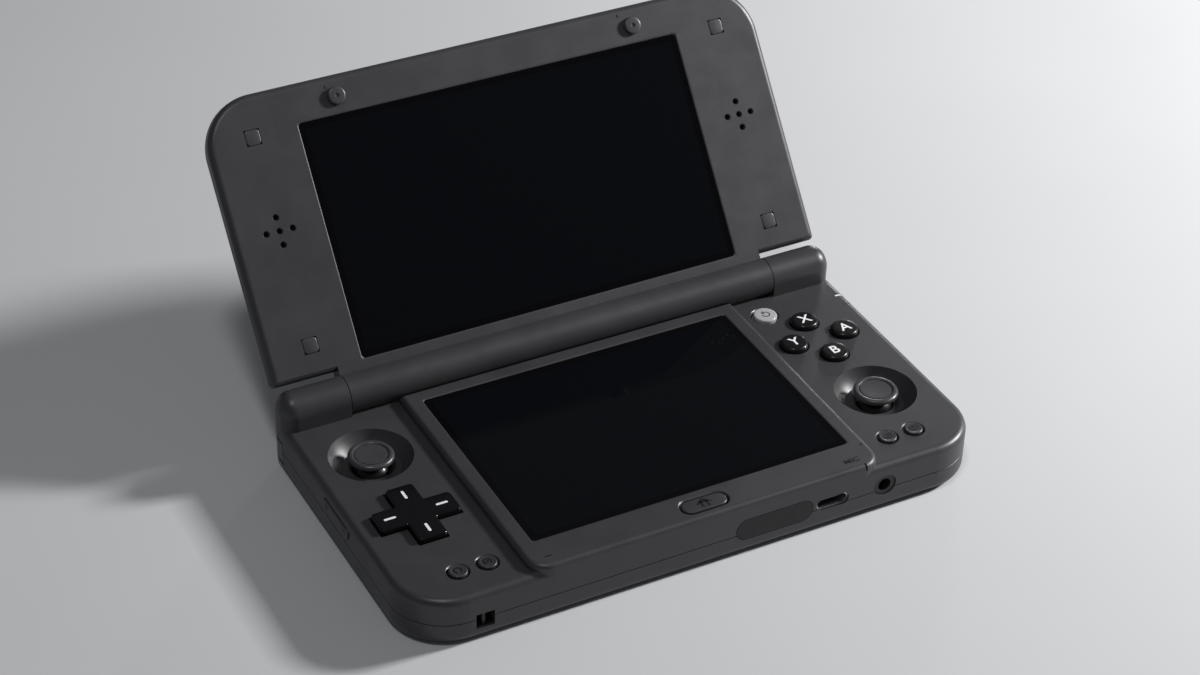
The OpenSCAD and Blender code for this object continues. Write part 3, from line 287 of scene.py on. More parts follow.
CHARCOAL = grained_plastic("charcoal_plastic", (0.034, 0.034, 0.037),
                           (0.045, 0.045, 0.048), 0.40)
BUTTON_GREY = grained_plastic("button_charcoal", (0.030, 0.030, 0.033),
                              (0.040, 0.040, 0.043), 0.40, grain=0.25, depth=0.006)
print("made", CHARCOAL.name, "and", BUTTON_GREY.name)

# %% [markdown]
# ## Polished and rubbery blacks
# The keys are polished black plastic under a clear coat: almost a mirror, with
# faint smears that only the roughness shows. Rubber is the opposite, black with
# a wide soft sheen and a pebbled skin.

# %% Polished black and rubber
def polished_plastic(name, dark, light, rough):
    finish = Finish(name, Specular_IOR_Level=0.24, Coat_Roughness=0.05)
    smear = finish.noise(3.5, detail=5.0, roughness=0.7)
    broad = finish.noise(14.0, detail=2.0)
    finish.set("Base Color", finish.mix(broad, dark, light))
    finish.set("Roughness", rough + (smear - 0.5) * 0.10)
    finish.set("Coat Weight", 0.22 + broad * 0.14)
    finish.bump(broad, 0.01, 0.4)
    return finish.material


def pebbled_rubber(name, dark, light, rough, grain=0.45, sheen=0.3):
    finish = Finish(name, Specular_IOR_Level=sheen)
    pebble = finish.noise(grain, detail=1.0)
    dust = finish.noise(2.2, detail=5.0, roughness=0.7)
    finish.set("Base Color", finish.mix(dust, dark, light))
    finish.set("Roughness", rough + (pebble - 0.5) * 0.14)
    finish.bump(pebble, 0.02)
    return finish.material


GLOSS_BLACK = polished_plastic("polished_black", (0.0022, 0.0022, 0.0026),
                               (0.0042, 0.0042, 0.0048), 0.19)
KEY_BLACK = polished_plastic("key_black", (0.0050, 0.0050, 0.0056),
                             (0.0080, 0.0080, 0.0088), 0.31)
LIGHT_GREY = polished_plastic("polished_light_grey", (0.36, 0.36, 0.375),
                              (0.43, 0.43, 0.445), 0.28)
RUBBER = pebbled_rubber("soft_black_rubber", (0.020, 0.020, 0.021),
                        (0.032, 0.032, 0.034), 0.62)
STICK_RUBBER = pebbled_rubber("stick_rubber", (0.040, 0.040, 0.043),
                              (0.056, 0.056, 0.060), 0.33, grain=0.3, sheen=0.5)
SILICONE = pebbled_rubber("grey_silicone", (0.20, 0.20, 0.21),
                          (0.28, 0.28, 0.29), 0.6)
BLACK_PLASTIC = grained_plastic("black_plastic", (0.010, 0.010, 0.011),
                                (0.016, 0.016, 0.017), 0.52)
print("made", [finish.name for finish in (
    GLOSS_BLACK, KEY_BLACK, LIGHT_GREY, RUBBER, STICK_RUBBER, SILICONE, BLACK_PLASTIC)])

# %% [markdown]
# ## Screen glass
# Both displays are switched off behind black-backed cover glass. Its UV map runs
# from 0 to 1 across and up the glass, which gives a mask for the active area, a
# trace bluer than the black border. The glass is very smooth, with a low specular
# level because the real one is coated.

# %% Cover glass
def cover_glass(name, margins):
    """Black-backed glass; margins are its border at left, right, bottom and top."""
    finish = Finish(name, Specular_IOR_Level=0.13)
    chart = finish.node("ShaderNodeUVMap", {"uv_map": "face"})
    across = finish.node("ShaderNodeSeparateXYZ", {}, {"Vector": chart}, output=0)
    up = finish.node("ShaderNodeSeparateXYZ", {}, {"Vector": chart}, output=1)
    left, right, bottom, top = margins
    active = (across.above(left) * across.below(1.0 - right)
              * up.above(bottom) * up.below(1.0 - top))
    finish.set("Base Color", finish.mix(active, (0.0022, 0.0022, 0.0026),
                                        (0.0030, 0.0033, 0.0044)))
    smear = finish.noise(22.0, detail=4.0, roughness=0.55)
    finish.set("Roughness", 0.022 + smear * 0.03)
    return finish.material


UPPER_GLASS = cover_glass("upper_cover_glass", (0.016, 0.016, 0.028, 0.028))
LOWER_GLASS = cover_glass("lower_cover_glass", (0.022, 0.022, 0.032, 0.032))
print("made", UPPER_GLASS.name, LOWER_GLASS.name)

# %% [markdown]
# ## Metal, light pipes and what is inside
# The hinge pins, springs and screws are plain steel with a very fine grain. The
# milky light pipes end in the deck, and only the rear one is lit: a mask on the
# place along Y feeds the emission. The parts under the shells show only through
# openings, but each still gets its own finish.

# %% Steel and light pipes
def turned_steel(name, shade, rough):
    finish = Finish(name, Metallic=1.0)
    grain = finish.noise(0.12)
    stain = finish.noise(4.0, detail=4.0)
    finish.set("Base Color", finish.mix(stain, tuple(c * 0.88 for c in shade), shade))
    finish.set("Roughness", rough + (stain - 0.5) * 0.12)
    finish.bump(grain, 0.004)
    return finish.material


def light_pipe(name, lit_behind):
    """Milky plastic that shines where y is above lit_behind millimetres."""
    finish = Finish(name, Roughness=0.22, Emission_Strength=0.8)
    along = finish.node("ShaderNodeSeparateXYZ", {}, {"Vector": finish.place}, output=1)
    lit = along.above(lit_behind * MM)
    milk = finish.noise(1.2)
    finish.set("Base Color", finish.mix(milk, (0.060, 0.062, 0.066),
                                        (0.085, 0.087, 0.092)))
    finish.set("Emission Color", finish.mix(lit, (0.0, 0.0, 0.0), (0.92, 0.96, 1.0)))
    return finish.material


STEEL = turned_steel("turned_steel", (0.55, 0.55, 0.56), 0.32)
BLACK_STEEL = turned_steel("blackened_steel", (0.06, 0.06, 0.062), 0.42)
COOLING = turned_steel("stamped_aluminium", (0.62, 0.62, 0.64), 0.42)
LIGHT_PIPE = light_pipe("milky_light_pipe", 24.0)
print("made", STEEL.name, BLACK_STEEL.name, COOLING.name, LIGHT_PIPE.name)


# %% Inner finishes
def board_mask(name, dark, light, trace):
    """Solder mask over copper: dark green with lighter traces on a grid."""
    finish = Finish(name, Roughness=0.38)
    cells = finish.node("ShaderNodeTexVoronoi", {"distance": "MANHATTAN"},
                        {"Vector": finish.place, "Scale": 1.0 / (3.2 * MM)})
    path = finish.ramp(cells, (0.30, 1.0), (0.36, 0.0))
    body = finish.mix(finish.noise(8.0), dark, light)
    finish.set("Base Color", finish.mix(path, body, trace))
    finish.bump(path, 0.02)
    return finish.material


BOARD = board_mask("green_solder_mask", (0.010, 0.060, 0.026),
                   (0.014, 0.078, 0.034), (0.022, 0.115, 0.05))
FLEX = board_mask("amber_flex", (0.30, 0.14, 0.03), (0.36, 0.17, 0.04),
                  (0.45, 0.24, 0.07))
WRAP = polished_plastic("battery_wrap", (0.035, 0.036, 0.045),
                        (0.05, 0.05, 0.062), 0.4)
PANEL = polished_plastic("display_panel_black", (0.010, 0.010, 0.013),
                         (0.014, 0.014, 0.018), 0.3)
print("made", BOARD.name, FLEX.name, WRAP.name, PANEL.name)

# %% [markdown]
# ## Inks
# Legends are printed: opaque white on the polished keys and a nearly black ink on
# the charcoal. Ink has a body of its own, so it is a very thin solid that stands
# a few hundredths of a millimetre proud instead of a colour in the plastic.

# %% Inks
def ink(name, dark, light, rough):
    finish = Finish(name, Specular_IOR_Level=0.3)
    spread = finish.noise(0.5, detail=3.0)
    finish.set("Base Color", finish.mix(spread, dark, light))
    finish.set("Roughness", rough + (spread - 0.5) * 0.1)
    return finish.material


WHITE_INK = ink("white_ink", (0.80, 0.80, 0.80), (0.90, 0.90, 0.90), 0.45)
DARK_INK = ink("dark_ink", (0.007, 0.007, 0.008), (0.011, 0.011, 0.012), 0.5)
print("made", WHITE_INK.name, DARK_INK.name)

# %% [markdown]
# ## Finishes on the mechanical model
# A CAD node whose shape is already right only needs its finish. The table names
# the finish of each node once; the loop puts it in the node's material slot.

# %% Dress the CAD nodes
NODE_FINISH = {
    CHARCOAL: ["base_top_shell", "base_bottom_cover", "lid_front_bezel",
               "lid_back_cover",
               "volume_rocker", "power_button", "home_button",
               "small_button_left_outer", "small_button_left_inner",
               "small_button_right_inner", "small_button_right_outer"],
    GLOSS_BLACK: ["shoulder_left_outer", "shoulder_left_inner",
                  "shoulder_right_outer", "shoulder_right_inner", "dpad"],
    KEY_BLACK: ["button_x", "button_a", "button_b", "button_y",
                "stick_shaft_left", "stick_shaft_right"],
    LIGHT_GREY: ["return_button"],
    STICK_RUBBER: ["stick_cap_left", "stick_cap_right"],
    RUBBER: ["rubber_feet", "lid_screw_caps", "lid_bumpers", "card_slot_cover"],
    BLACK_STEEL: ["strap_pin"],
    STEEL: ["base_screws", "hinge_pin_left", "hinge_pin_right",
            "hinge_cartridge_left", "hinge_cartridge_right", "lid_screws",
            "dpad_pivot", "usb_c_port", "stick_saddle_left", "stick_saddle_right",
            "stick_cradle_left", "stick_cradle_right", "card_reader"],
    COOLING: ["cooling_plate"],
    BOARD: ["main_board"],
    FLEX: ["hinge_flex_cable"],
    WRAP: ["battery_pack"],
    PANEL: ["lower_display_panel", "upper_display_panel"],
    SILICONE: ["dpad_membrane", "face_button_membrane"],
    BLACK_PLASTIC: ["headphone_jack", "tact_switches", "stick_housing_left",
                    "stick_housing_right", "speaker_left", "speaker_right"],
    LIGHT_PIPE: ["led_light_pipes"],
    UPPER_GLASS: ["upper_screen_glass"],
    LOWER_GLASS: ["lower_screen_glass"],
}
for finish, names in NODE_FINISH.items():
    for name in names:
        slots = nodes[name].data.materials
        slots.clear()
        slots.append(finish)
undressed = sorted(set(nodes) - {n for names in NODE_FINISH.values() for n in names})
print("CAD nodes without a finish:", undressed)

# %% [markdown]
# ## The table it stands on
# The floor is a wide pale sheet just under the rubber feet. Its slight mottling
# keeps the shadows from looking cut out.

# %% Floor
FLOOR_REACH = 3.0      # m from the middle to each side


def pale_floor():
    finish = Finish("pale_floor", Roughness=0.85, Specular_IOR_Level=0.2)
    mottle = finish.noise(90.0, detail=5.0)
    finish.set("Base Color", finish.mix(mottle, (0.57, 0.575, 0.585),
                                        (0.61, 0.615, 0.625)))
    mesh = bpy.data.meshes.new("floor")
    mesh.from_pydata([(x * FLOOR_REACH, y * FLOOR_REACH, FLOOR * MM)
                      for x, y in ((-1, -1), (1, -1), (1, 1), (-1, 1))],
                     [], [(0, 1, 2, 3)])
    mesh.materials.append(finish.material)
    floor = bpy.data.objects.new("floor", mesh)
    scene.collection.objects.link(floor)
    return floor


print("floor at", FLOOR, "mm:", pale_floor().name)

# %% [markdown]
# ## Outlines
# Every key on this console is a flat outline pulled up with a rounded edge. An
# outline is a list of points that keeps its number of points when it is inset,
# so that two of them can always be joined by one row of faces. Inset makes a
# convex corner tighter and a hollow corner wider, as a real cutter offset does.

# %% Outline functions
LEAST_RADIUS = 0.02    # a corner never gets tighter than this, mm


def circle(radius, count=96):
    return lambda inset: [((radius - inset) * math.cos(2 * math.pi * i / count),
                           (radius - inset) * math.sin(2 * math.pi * i / count))
                          for i in range(count)]


def corner_arc(x, y, radius, start, sweep, steps=8):
    """Points of an arc about (x, y), angles in degrees."""
    return [(x + radius * math.cos(math.radians(start + sweep * i / steps)),
             y + radius * math.sin(math.radians(start + sweep * i / steps)))
            for i in range(steps + 1)]


def rounded_rectangle(width, depth, radius, steps=8):
    def outline(inset):
        r = max(radius - inset, LEAST_RADIUS)
        x, y = width / 2 - inset - r, depth / 2 - inset - r
        corners = enumerate(((x, y), (-x, y), (-x, -y), (x, -y)))
        return [point for turn, corner in corners
                for point in corner_arc(*corner, r, 90 * turn, 90, steps)]
    return outline


def cross(span, arm, tip, hollow, steps=6):
    """A plus sign: tip is the radius of its outer corners, hollow of its inner ones."""
    def outline(inset):
        s, a = span / 2 - inset, arm / 2 - inset
        t, h = max(tip - inset, LEAST_RADIUS), hollow + inset
        points = []
        for turn in range(4):
            quarter = (corner_arc(s - t, a - t, t, 0, 90, steps)
                       + corner_arc(a + h, a + h, h, 270, -90, steps)
                       + corner_arc(a - t, s - t, t, 0, 90, steps))
            c, n = ((1, 0), (0, 1), (-1, 0), (0, -1))[turn]
            points += [(c * x - n * y, n * x + c * y) for x, y in quarter]
        return points
    return outline


print("a rounded rectangle has", len(rounded_rectangle(2.0, 1.0, 0.2)(0.0)), "points")

# %% [markdown]
# ## Pulling an outline up
# `stacked` joins outlines at rising heights into one closed mesh in millimetres,
# with a lid at each end. `rounded_edge` gives the insets and heights of a
# quarter-round edge. Faces that meet at less than 35 degrees are shaded as one
# surface, which keeps the flats flat and the edges round. `carried` makes any
# finished mesh a piece that moves with a body of the mechanical model.

# %% Stacks
SHARP = 35.0           # faces that meet at more degrees than this keep their edge


def rounded_edge(radius, steps=6):
    """(inset, drop below the top) from the wall up to the flat top."""
    turns = [math.pi / 2 * i / steps for i in range(steps + 1)]
    return [(radius * (1 - math.cos(a)), radius * (1 - math.sin(a))) for a in turns]


def stacked(shape, sections):
    """Adds rings (outline, inset, height) to the bmesh shape and closes both ends."""
    rings = [[shape.verts.new((x, y, height)) for x, y in outline(inset)]
             for outline, inset, height in sections]
    for low, high in zip(rings, rings[1:]):
        bridge(shape, low, high)
    shape.faces.new(reversed(rings[0]))
    shape.faces.new(rings[-1])


def bridge(shape, low, high):
    """One row of faces from ring low to ring high."""
    for i in range(len(low)):
        j = (i + 1) % len(low)
        shape.faces.new((low[i], low[j], high[j], high[i]))


def carried(name, mesh, body, replaces=()):
    """Shows mesh as a piece that rides on body."""
    made = bpy.data.objects.new(name, mesh)
    scene.collection.objects.link(made)
    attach(made, body)
    if replaces:
        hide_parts(*replaces)
    return made


def piece(name, build, finish, body, place=None, replaces=(), smooth=SHARP):
    """Builds a piece in millimetres, stands it at place and lets it ride on body."""
    shape = bmesh.new()
    build(shape)
    bmesh.ops.remove_doubles(shape, verts=shape.verts, dist=1e-5)
    bmesh.ops.recalc_face_normals(shape, faces=shape.faces)
    shape.transform((place or Matrix.Identity(4)) @ Matrix.Scale(MM, 4))
    mesh = bpy.data.meshes.new(name)
    shape.to_mesh(mesh)
    shape.free()
    mesh.shade_smooth()
    mesh.set_sharp_from_angle(angle=math.radians(smooth))
    mesh.materials.append(finish)
    return carried(name, mesh, body, replaces)


def at(x, y, z=0.0):
    """Place on the console, given in millimetres."""
    return Matrix.Translation(Vector((x, y, z)) * MM)


print("edge profile:", [tuple(round(v, 2) for v in p) for p in rounded_edge(0.9, 3)])

# %% [markdown]
# ## Direction pad
# One glossy moulding: a plus with slightly rounded tips, tight inner corners and
# a small rounded edge all round its top. Under the deck it carries a round
# skirt, which keeps it from falling out. Both are stacks of outlines in the same
# mesh, so the pad is one piece that rocks on its ball.

# %% Direction pad
DPAD_TOP = DECK + 1.4
DPAD_SPAN, DPAD_ARM = 21.0, 7.4        # from tip to tip, and across one arm
SKIRT_RADIUS, SKIRT_LOW, SKIRT_TOP = 11.1, 9.4, 10.3


def build_dpad(shape):
    plus = cross(DPAD_SPAN, DPAD_ARM, 1.1, 0.5)
    edge = [(plus, inset, DPAD_TOP - drop) for inset, drop in rounded_edge(0.45)]
    stacked(shape, [(plus, 0.0, SKIRT_TOP)] + edge)
    skirt = circle(SKIRT_RADIUS)
    stacked(shape, [(skirt, 0.0, SKIRT_LOW), (skirt, 0.0, SKIRT_TOP),
                    (skirt, 0.1, SKIRT_TOP + 0.1)])


dpad = piece("direction_pad", build_dpad, GLOSS_BLACK, "dpad", at(*DPAD),
             ["dpad"])
print("direction pad faces:", len(dpad.data.polygons))

# %% [markdown]
# ## Round keys
# A round key is turned: its profile is a short list of radius and height, from
# the middle of the underside round to the middle of the top. The four face keys
# stand high with a generous rounded edge. The small ones are almost flush with a
# shallow dish, and the grey one is slightly crowned; above the retaining flange
# these step in a little, which leaves the dark moat seen round each of them.

# %% Turned keys
def turned(profile, count=96):
    """Build function for a solid of revolution from (radius, height) points."""
    def build(shape):
        spin = circle(0.0, count)
        stacked(shape, [(spin, -radius, height) for radius, height in profile])
    return build


def key_profile(radius, low, top, rim, flange, dish, moat=0.0):
    """Stem, retaining flange, wall, rounded rim and a few dish points."""
    wall = [(AXIS, low), (radius - 0.1, low), (radius, low + 0.1),
            (radius, FLANGE_LOW), (flange, FLANGE_LOW), (flange, FLANGE_TOP),
            (radius - moat, FLANGE_TOP)]
    edge = [(radius - moat - inset, top - drop) for inset, drop in rounded_edge(rim, 8)]
    return wall + edge + [(r, top - d) for r, d in dish]


AXIS = 0.05                            # a turned profile ends this near its axis
FLANGE_LOW, FLANGE_TOP = 11.15, 11.85  # the retaining flange under the deck
FACE_TOP = DECK + 1.3
face_profile = key_profile(3.7, 9.3, FACE_TOP, 0.85, 4.4, [(1.6, -0.02), (AXIS, -0.03)])
for letter, (x, y) in FACE_BUTTONS.items():
    piece("face_key_" + letter, turned(face_profile), KEY_BLACK,
          "button_" + letter, at(x, y), ["button_" + letter])
print("face keys:", list(FACE_BUTTONS))

# %% Small keys and the return key
SMALL_TOP = DECK + 0.4
RETURN_TOP = DECK + 0.6
small_profile = key_profile(2.6, 9.6, SMALL_TOP, 0.4, 3.3,
                            [(1.85, 0.03), (1.6, 0.09), (1.3, 0.11), (AXIS, 0.11)],
                            moat=0.25)
return_profile = key_profile(3.5, 9.6, RETURN_TOP, 0.5, 4.2,
                             [(1.6, -0.05), (AXIS, -0.07)], moat=0.3)
for side, (x, y) in SMALL_BUTTONS.items():
    piece("small_key_" + side, turned(small_profile), BUTTON_GREY,
          "small_button_" + side, at(x, y), ["small_button_" + side])
piece("return_key", turned(return_profile), LIGHT_GREY,
      "return_button", at(*RETURN_BUTTON), ["return_button"])
print("small keys:", list(SMALL_BUTTONS))

# %% [markdown]
# ## Home key, volume rocker and power key
# These are obrounds, a rounded rectangle whose corner radius is half its width.
# The two side keys are modelled lying flat and then turned to face out of the
# side walls.

# %% Obround keys
HOME_TOP = TRAY + 0.05
VOLUME_TOP, POWER_TOP = 0.4, 0.3       # how far the side keys stand out, mm
FACING_LEFT = Matrix(((0, 0, -1, 0), (-1, 0, 0, 0), (0, 1, 0, 0), (0, 0, 0, 1)))
FACING_RIGHT = Matrix(((0, 0, 1, 0), (1, 0, 0, 0), (0, 1, 0, 0), (0, 0, 0, 1)))
ON_LEFT = at(-SIDE, 1.9, 9.8) @ FACING_LEFT
ON_RIGHT = at(SIDE, 1.9, 9.8) @ FACING_RIGHT


def obround(length, width, sections):
    """Sections (inset, height) of one obround, ready for stacked."""
    outline = rounded_rectangle(length, width, width / 2, 12)
    return [(outline, inset, height) for inset, height in sections]


def obround_key(cap, low, top, rim, flange, flange_low, flange_top):
    """A cap with a rounded rim on a flange; both are (length, width)."""
    def build(shape):
        edge = [(inset, top - drop) for inset, drop in rounded_edge(rim)]
        stacked(shape, obround(*cap, [(0.0, low)] + edge))
        stacked(shape, obround(*flange, [(0.0, flange_low), (0.0, flange_top)]))
    return build


for name, body, stand, build in (
        ("home_key", "home_button", at(*HOME_BUTTON),
         obround_key((12.2, 4.6), 12.85, HOME_TOP, 0.4, (13.8, 6.1), 12.45, 13.35)),
        ("volume_key", "volume_rocker", ON_LEFT,
         obround_key((15.4, 2.9), -2.3, VOLUME_TOP, 0.35, (17.0, 3.9), -3.0, -2.2)),
        ("power_key", "power_button", ON_RIGHT,
         obround_key((8.0, 2.9), -2.0, POWER_TOP, 0.25, (9.4, 3.9), -2.6, -2.0))):
    made = piece(name, build, BUTTON_GREY, body, stand, [body])
    print(made.name, "faces:", len(made.data.polygons))

# %% [markdown]
# ## Thumbstick caps
# The cap is a turned mushroom in soft rubber: a dark tapering side, a full round
# rim, a fine groove and a slightly sunk, hollow disc for the thumb. The polished
# dome below it belongs to the stick's shaft and stays as the CAD node it is.

# %% Stick caps
STICK_TOP = DECK + 0.5
RIM_MIDDLE, RIM_BULGE = 4.95, 0.95     # the rim is round about this circle


def stick_profile():
    """(radius, height): the side, the round rim, the groove and the disc."""
    side = [(AXIS, -1.95), (4.6, -1.95), (4.95, -1.85), (5.35, -1.55), (5.7, -1.2)]
    rim = [(RIM_MIDDLE + RIM_BULGE * math.cos(a), RIM_BULGE * (math.sin(a) - 1.0))
           for a in (math.radians(degrees) for degrees in range(-10, 131, 14))]
    groove = [(4.30, -0.42), (4.14, -0.42), (4.08, -0.24)]
    disc = [(3.8, -0.21), (3.0, -0.26), (1.6, -0.32), (AXIS, -0.34)]
    return [(radius, STICK_TOP + height) for radius, height in side + rim + groove + disc]


for side, (x, y) in STICKS.items():
    piece("thumb_cap_" + side, turned(stick_profile(), 128), STICK_RUBBER,
          "stick_" + side, at(x, y), ["stick_cap_" + side], smooth=28.0)
print("thumb cap rings:", len(stick_profile()))

# %% [markdown]
# ## Repeats with Geometry Nodes
# Screw caps, bumpers, pips and pad dashes repeat one small shape at a few
# places. A Geometry Nodes tree grows that shape in steps: it starts from a flat
# face, extrudes it and scales the top, once for each step. The object itself
# carries only the places, one vertex each. The result is turned into a plain
# mesh, stood up with the lid and given its body.

# %% Growing a shape in steps
class Grove(Board):
    """A Geometry Nodes tree that plants one grown shape on every vertex."""

    WELD = 1e-6            # m

    def __init__(self, name, sizes):
        super().__init__(bpy.data.node_groups.new(name, "GeometryNodeTree"))
        face = self.tree.interface
        face.new_socket("Places", in_out="INPUT", socket_type="NodeSocketGeometry")
        for key, value in sizes.items():
            face.new_socket(key, in_out="INPUT",
                            socket_type="NodeSocketFloat").default_value = value * MM
        face.new_socket("Turn", in_out="INPUT", socket_type="NodeSocketFloat")
        face.new_socket("Finish", in_out="INPUT", socket_type="NodeSocketMaterial")
        face.new_socket("Pieces", in_out="OUTPUT", socket_type="NodeSocketGeometry")
        self.entry = self.tree.nodes.new("NodeGroupInput")

    def given(self, key):
        return Wire(self, self.entry.outputs[key])

    def grow(self, base, steps):
        """Extrudes the top face of base again and again: steps are (rise, scale)."""
        mesh, top = base, True
        for rise, scale in steps:
            mesh = self.node("GeometryNodeExtrudeMesh", {"mode": "FACES"},
                             {"Mesh": mesh, "Selection": top, "Offset Scale": rise,
                              "Individual": False})
            top = Wire(self, mesh.socket.node.outputs["Top"])
            mesh = self.node("GeometryNodeScaleElements", {"domain": "FACE"},
                             {"Geometry": mesh, "Selection": top, "Scale": scale})
        under = self.node("GeometryNodeFlipFaces", {}, {"Mesh": base})
        both = self.tree.nodes.new("GeometryNodeJoinGeometry")
        for part in (mesh, under):
            self.tree.links.new(part.socket, both.inputs[0])
        return self.node("GeometryNodeMergeByDistance", {},
                         {"Geometry": Wire(self, both.outputs[0]),
                          "Distance": self.WELD})

    def plant(self, shape):
        """Puts shape on the places and ends the tree."""
        index = self.node("GeometryNodeInputIndex")
        turn = self.node("ShaderNodeCombineXYZ", {}, {"Z": index * self.given("Turn")})
        planted = self.node("GeometryNodeInstanceOnPoints", {}, {
            "Points": self.given("Places"), "Instance": shape, "Rotation": turn})
        real = self.node("GeometryNodeRealizeInstances", {}, {"Geometry": planted})
        done = self.node("GeometryNodeSetMaterial", {},
                         {"Geometry": real, "Material": self.given("Finish")})
        leave = self.tree.nodes.new("NodeGroupOutput")
        self.tree.links.new(done.socket, leave.inputs[0])
        return self.tree


print("grove ready")

# %% Planting
def volume_sign(mesh):
    """+1 when the faces of a closed mesh point outwards."""
    shape = bmesh.new()
    shape.from_mesh(mesh)
    volume = shape.calc_volume(signed=True)
    shape.free()
    return 1 if volume > 0 else -1


def planted(name, tree, places, sizes, finish, body, stand=None, replaces=(), slot=None,
            turn=0.0):
    """Runs a grove on places in millimetres and keeps the plain mesh it grows."""
    points = bpy.data.meshes.new(name + "_places")
    points.from_pydata([Vector(p) * MM for p in places], [], [])
    holder = bpy.data.objects.new(name + "_places", points)
    scene.collection.objects.link(holder)
    modifier = holder.modifiers.new("grow", "NODES")
    modifier.node_group = tree
    socket = {item.name: item.identifier for item in tree.interface.items_tree
              if item.in_out == "INPUT"}
    for key, value in sizes.items():
        modifier[socket[key]] = value * MM
    modifier[socket["Turn"]] = math.radians(turn)
    modifier[socket["Finish"]] = finish
    ready = holder.evaluated_get(bpy.context.evaluated_depsgraph_get())
    mesh = bpy.data.meshes.new_from_object(ready)
    holder.modifiers.remove(modifier)
    bpy.data.objects.remove(holder)
    mesh.name = name
    mesh.transform(stand or Matrix.Identity(4))
    mesh.shade_smooth()
    mesh.set_sharp_from_angle(angle=math.radians(SHARP))
    carried(name, mesh, body, replaces)
    print(name, "faces:", len(mesh.polygons), "volume sign:", volume_sign(mesh))


print("planting ready")

# %% [markdown]
# ## Bumpers
# Two round rubber bumpers meet the base when the lid closes. Each is a low
# cylinder with a rounded shoulder and a small dimple in its middle, where the
# moulding gate was hidden.

# %% Bumpers
BUMPER = {"Radius": 2.35, "Height": 1.78}
BUMPER_STEPS = [(0.76, 1.0), (0.11, 0.985), (0.07, 0.955), (0.04, 0.93), (0.02, 0.88),
                (0.0, 0.36), (-0.05, 0.82), (-0.12, 0.72)]    # share of height, scale
BUMPERS = [(side * 42.6, 73.7, FACE - 0.58) for side in (-1, 1)]


def bumper_grove():
    grove = Grove("bumper", BUMPER)
    base = grove.node("GeometryNodeMeshCircle", {"fill_type": "NGON"},
                      {"Vertices": 48, "Radius": grove.given("Radius")})
    height = grove.given("Height")
    return grove.plant(grove.grow(base, [(height * share, scale)
                                         for share, scale in BUMPER_STEPS]))


planted("lid_bumper_pair", bumper_grove(), BUMPERS, BUMPER,
        STICK_RUBBER, "lid", LID, ["lid_bumpers"], "rubber_black")

# %% [markdown]
# ## Screw caps
# Four soft plugs hide the lid's screws. They are squares with well rounded
# corners that sit level with the lid, so all that shows is the fine gap round
# them; a small rounded edge on the plug and on its pocket catches the light.

# %% Screw caps
CAP = {"Side": 3.96, "Corner": 1.0, "Height": 0.78}
CAP_STEPS = [(0.72, 1.0), (0.14, 0.985), (0.09, 0.955), (0.05, 0.91)]
CAPS = [(side * 66.7, v, FACE - CAP["Height"]) for side in (-1, 1) for v in (14.2, 68.3)]


def rounded_plate(grove, width, depth, corner):
    """A flat face for a grove to grow: a rectangle with rounded corners."""
    outline = grove.node("GeometryNodeCurvePrimitiveQuadrilateral", {"mode": "RECTANGLE"},
                         {"Width": width, "Height": depth})
    rounded = grove.node("GeometryNodeFilletCurve", {"mode": "POLY"},
                         {"Curve": outline, "Radius": corner, "Count": 8})
    return grove.node("GeometryNodeFillCurve", {"mode": "NGONS"}, {"Curve": rounded})


def cap_grove():
    grove = Grove("screw_cap", CAP)
    side, height = grove.given("Side"), grove.given("Height")
    base = rounded_plate(grove, side, side, grove.given("Corner"))
    return grove.plant(grove.grow(base, [(height * share, scale)
                                         for share, scale in CAP_STEPS]))


planted("lid_screw_plugs", cap_grove(), CAPS, CAP,
        CHARCOAL, "lid", LID, ["lid_screw_caps"], "rubber_black")

# %% [markdown]
# ## Pips and pad dashes
# Two tiny pips stand by the bumpers. On the pad, four white dashes point out
# along the arms. Both come from an obround grown a fraction of a millimetre; a
# dash is planted at each arm and turned by a quarter for each place.

# %% Pips and dashes
DASH = {"Length": 3.2, "Width": 0.72, "Height": 0.05}
PIP = {"Length": 0.9, "Width": 0.9, "Height": 0.25}
ARM_MIDDLE = 6.84      # where a dash stands, mm from the pad's middle
DASHES = [(DPAD[0] + ARM_MIDDLE * c, DPAD[1] + ARM_MIDDLE * s, DPAD_TOP - 0.03)
          for c, s in ((1, 0), (0, 1), (-1, 0), (0, -1))]
PIPS = [(-44.4, 76.5, FACE - 0.1), (39.75, 77.1, FACE - 0.1)]


def stroke_grove(name, sizes):
    grove = Grove(name, sizes)
    width = grove.given("Width")
    base = rounded_plate(grove, grove.given("Length"), width, width * 0.499)
    return grove.plant(grove.grow(base, [(grove.given("Height"), 0.98)]))


planted("direction_pad_dashes", stroke_grove("dash", DASH), DASHES, DASH,
        WHITE_INK, "dpad", turn=90.0)
planted("lid_pips", stroke_grove("pip", PIP), PIPS, PIP, CHARCOAL, "lid", LID)

# %% [markdown]
# ## Letters
# Letters start as text objects. The curve's offset thickens the strokes to the
# bold weight of printed keys and its extrusion gives the ink a body. It becomes
# a mesh, is centred on its own box, and is then stood where it belongs.

# %% Letters
CAPITAL = 0.69         # height of a capital letter as a share of the text size
INK_HALF = 0.025       # half the thickness of the print, mm


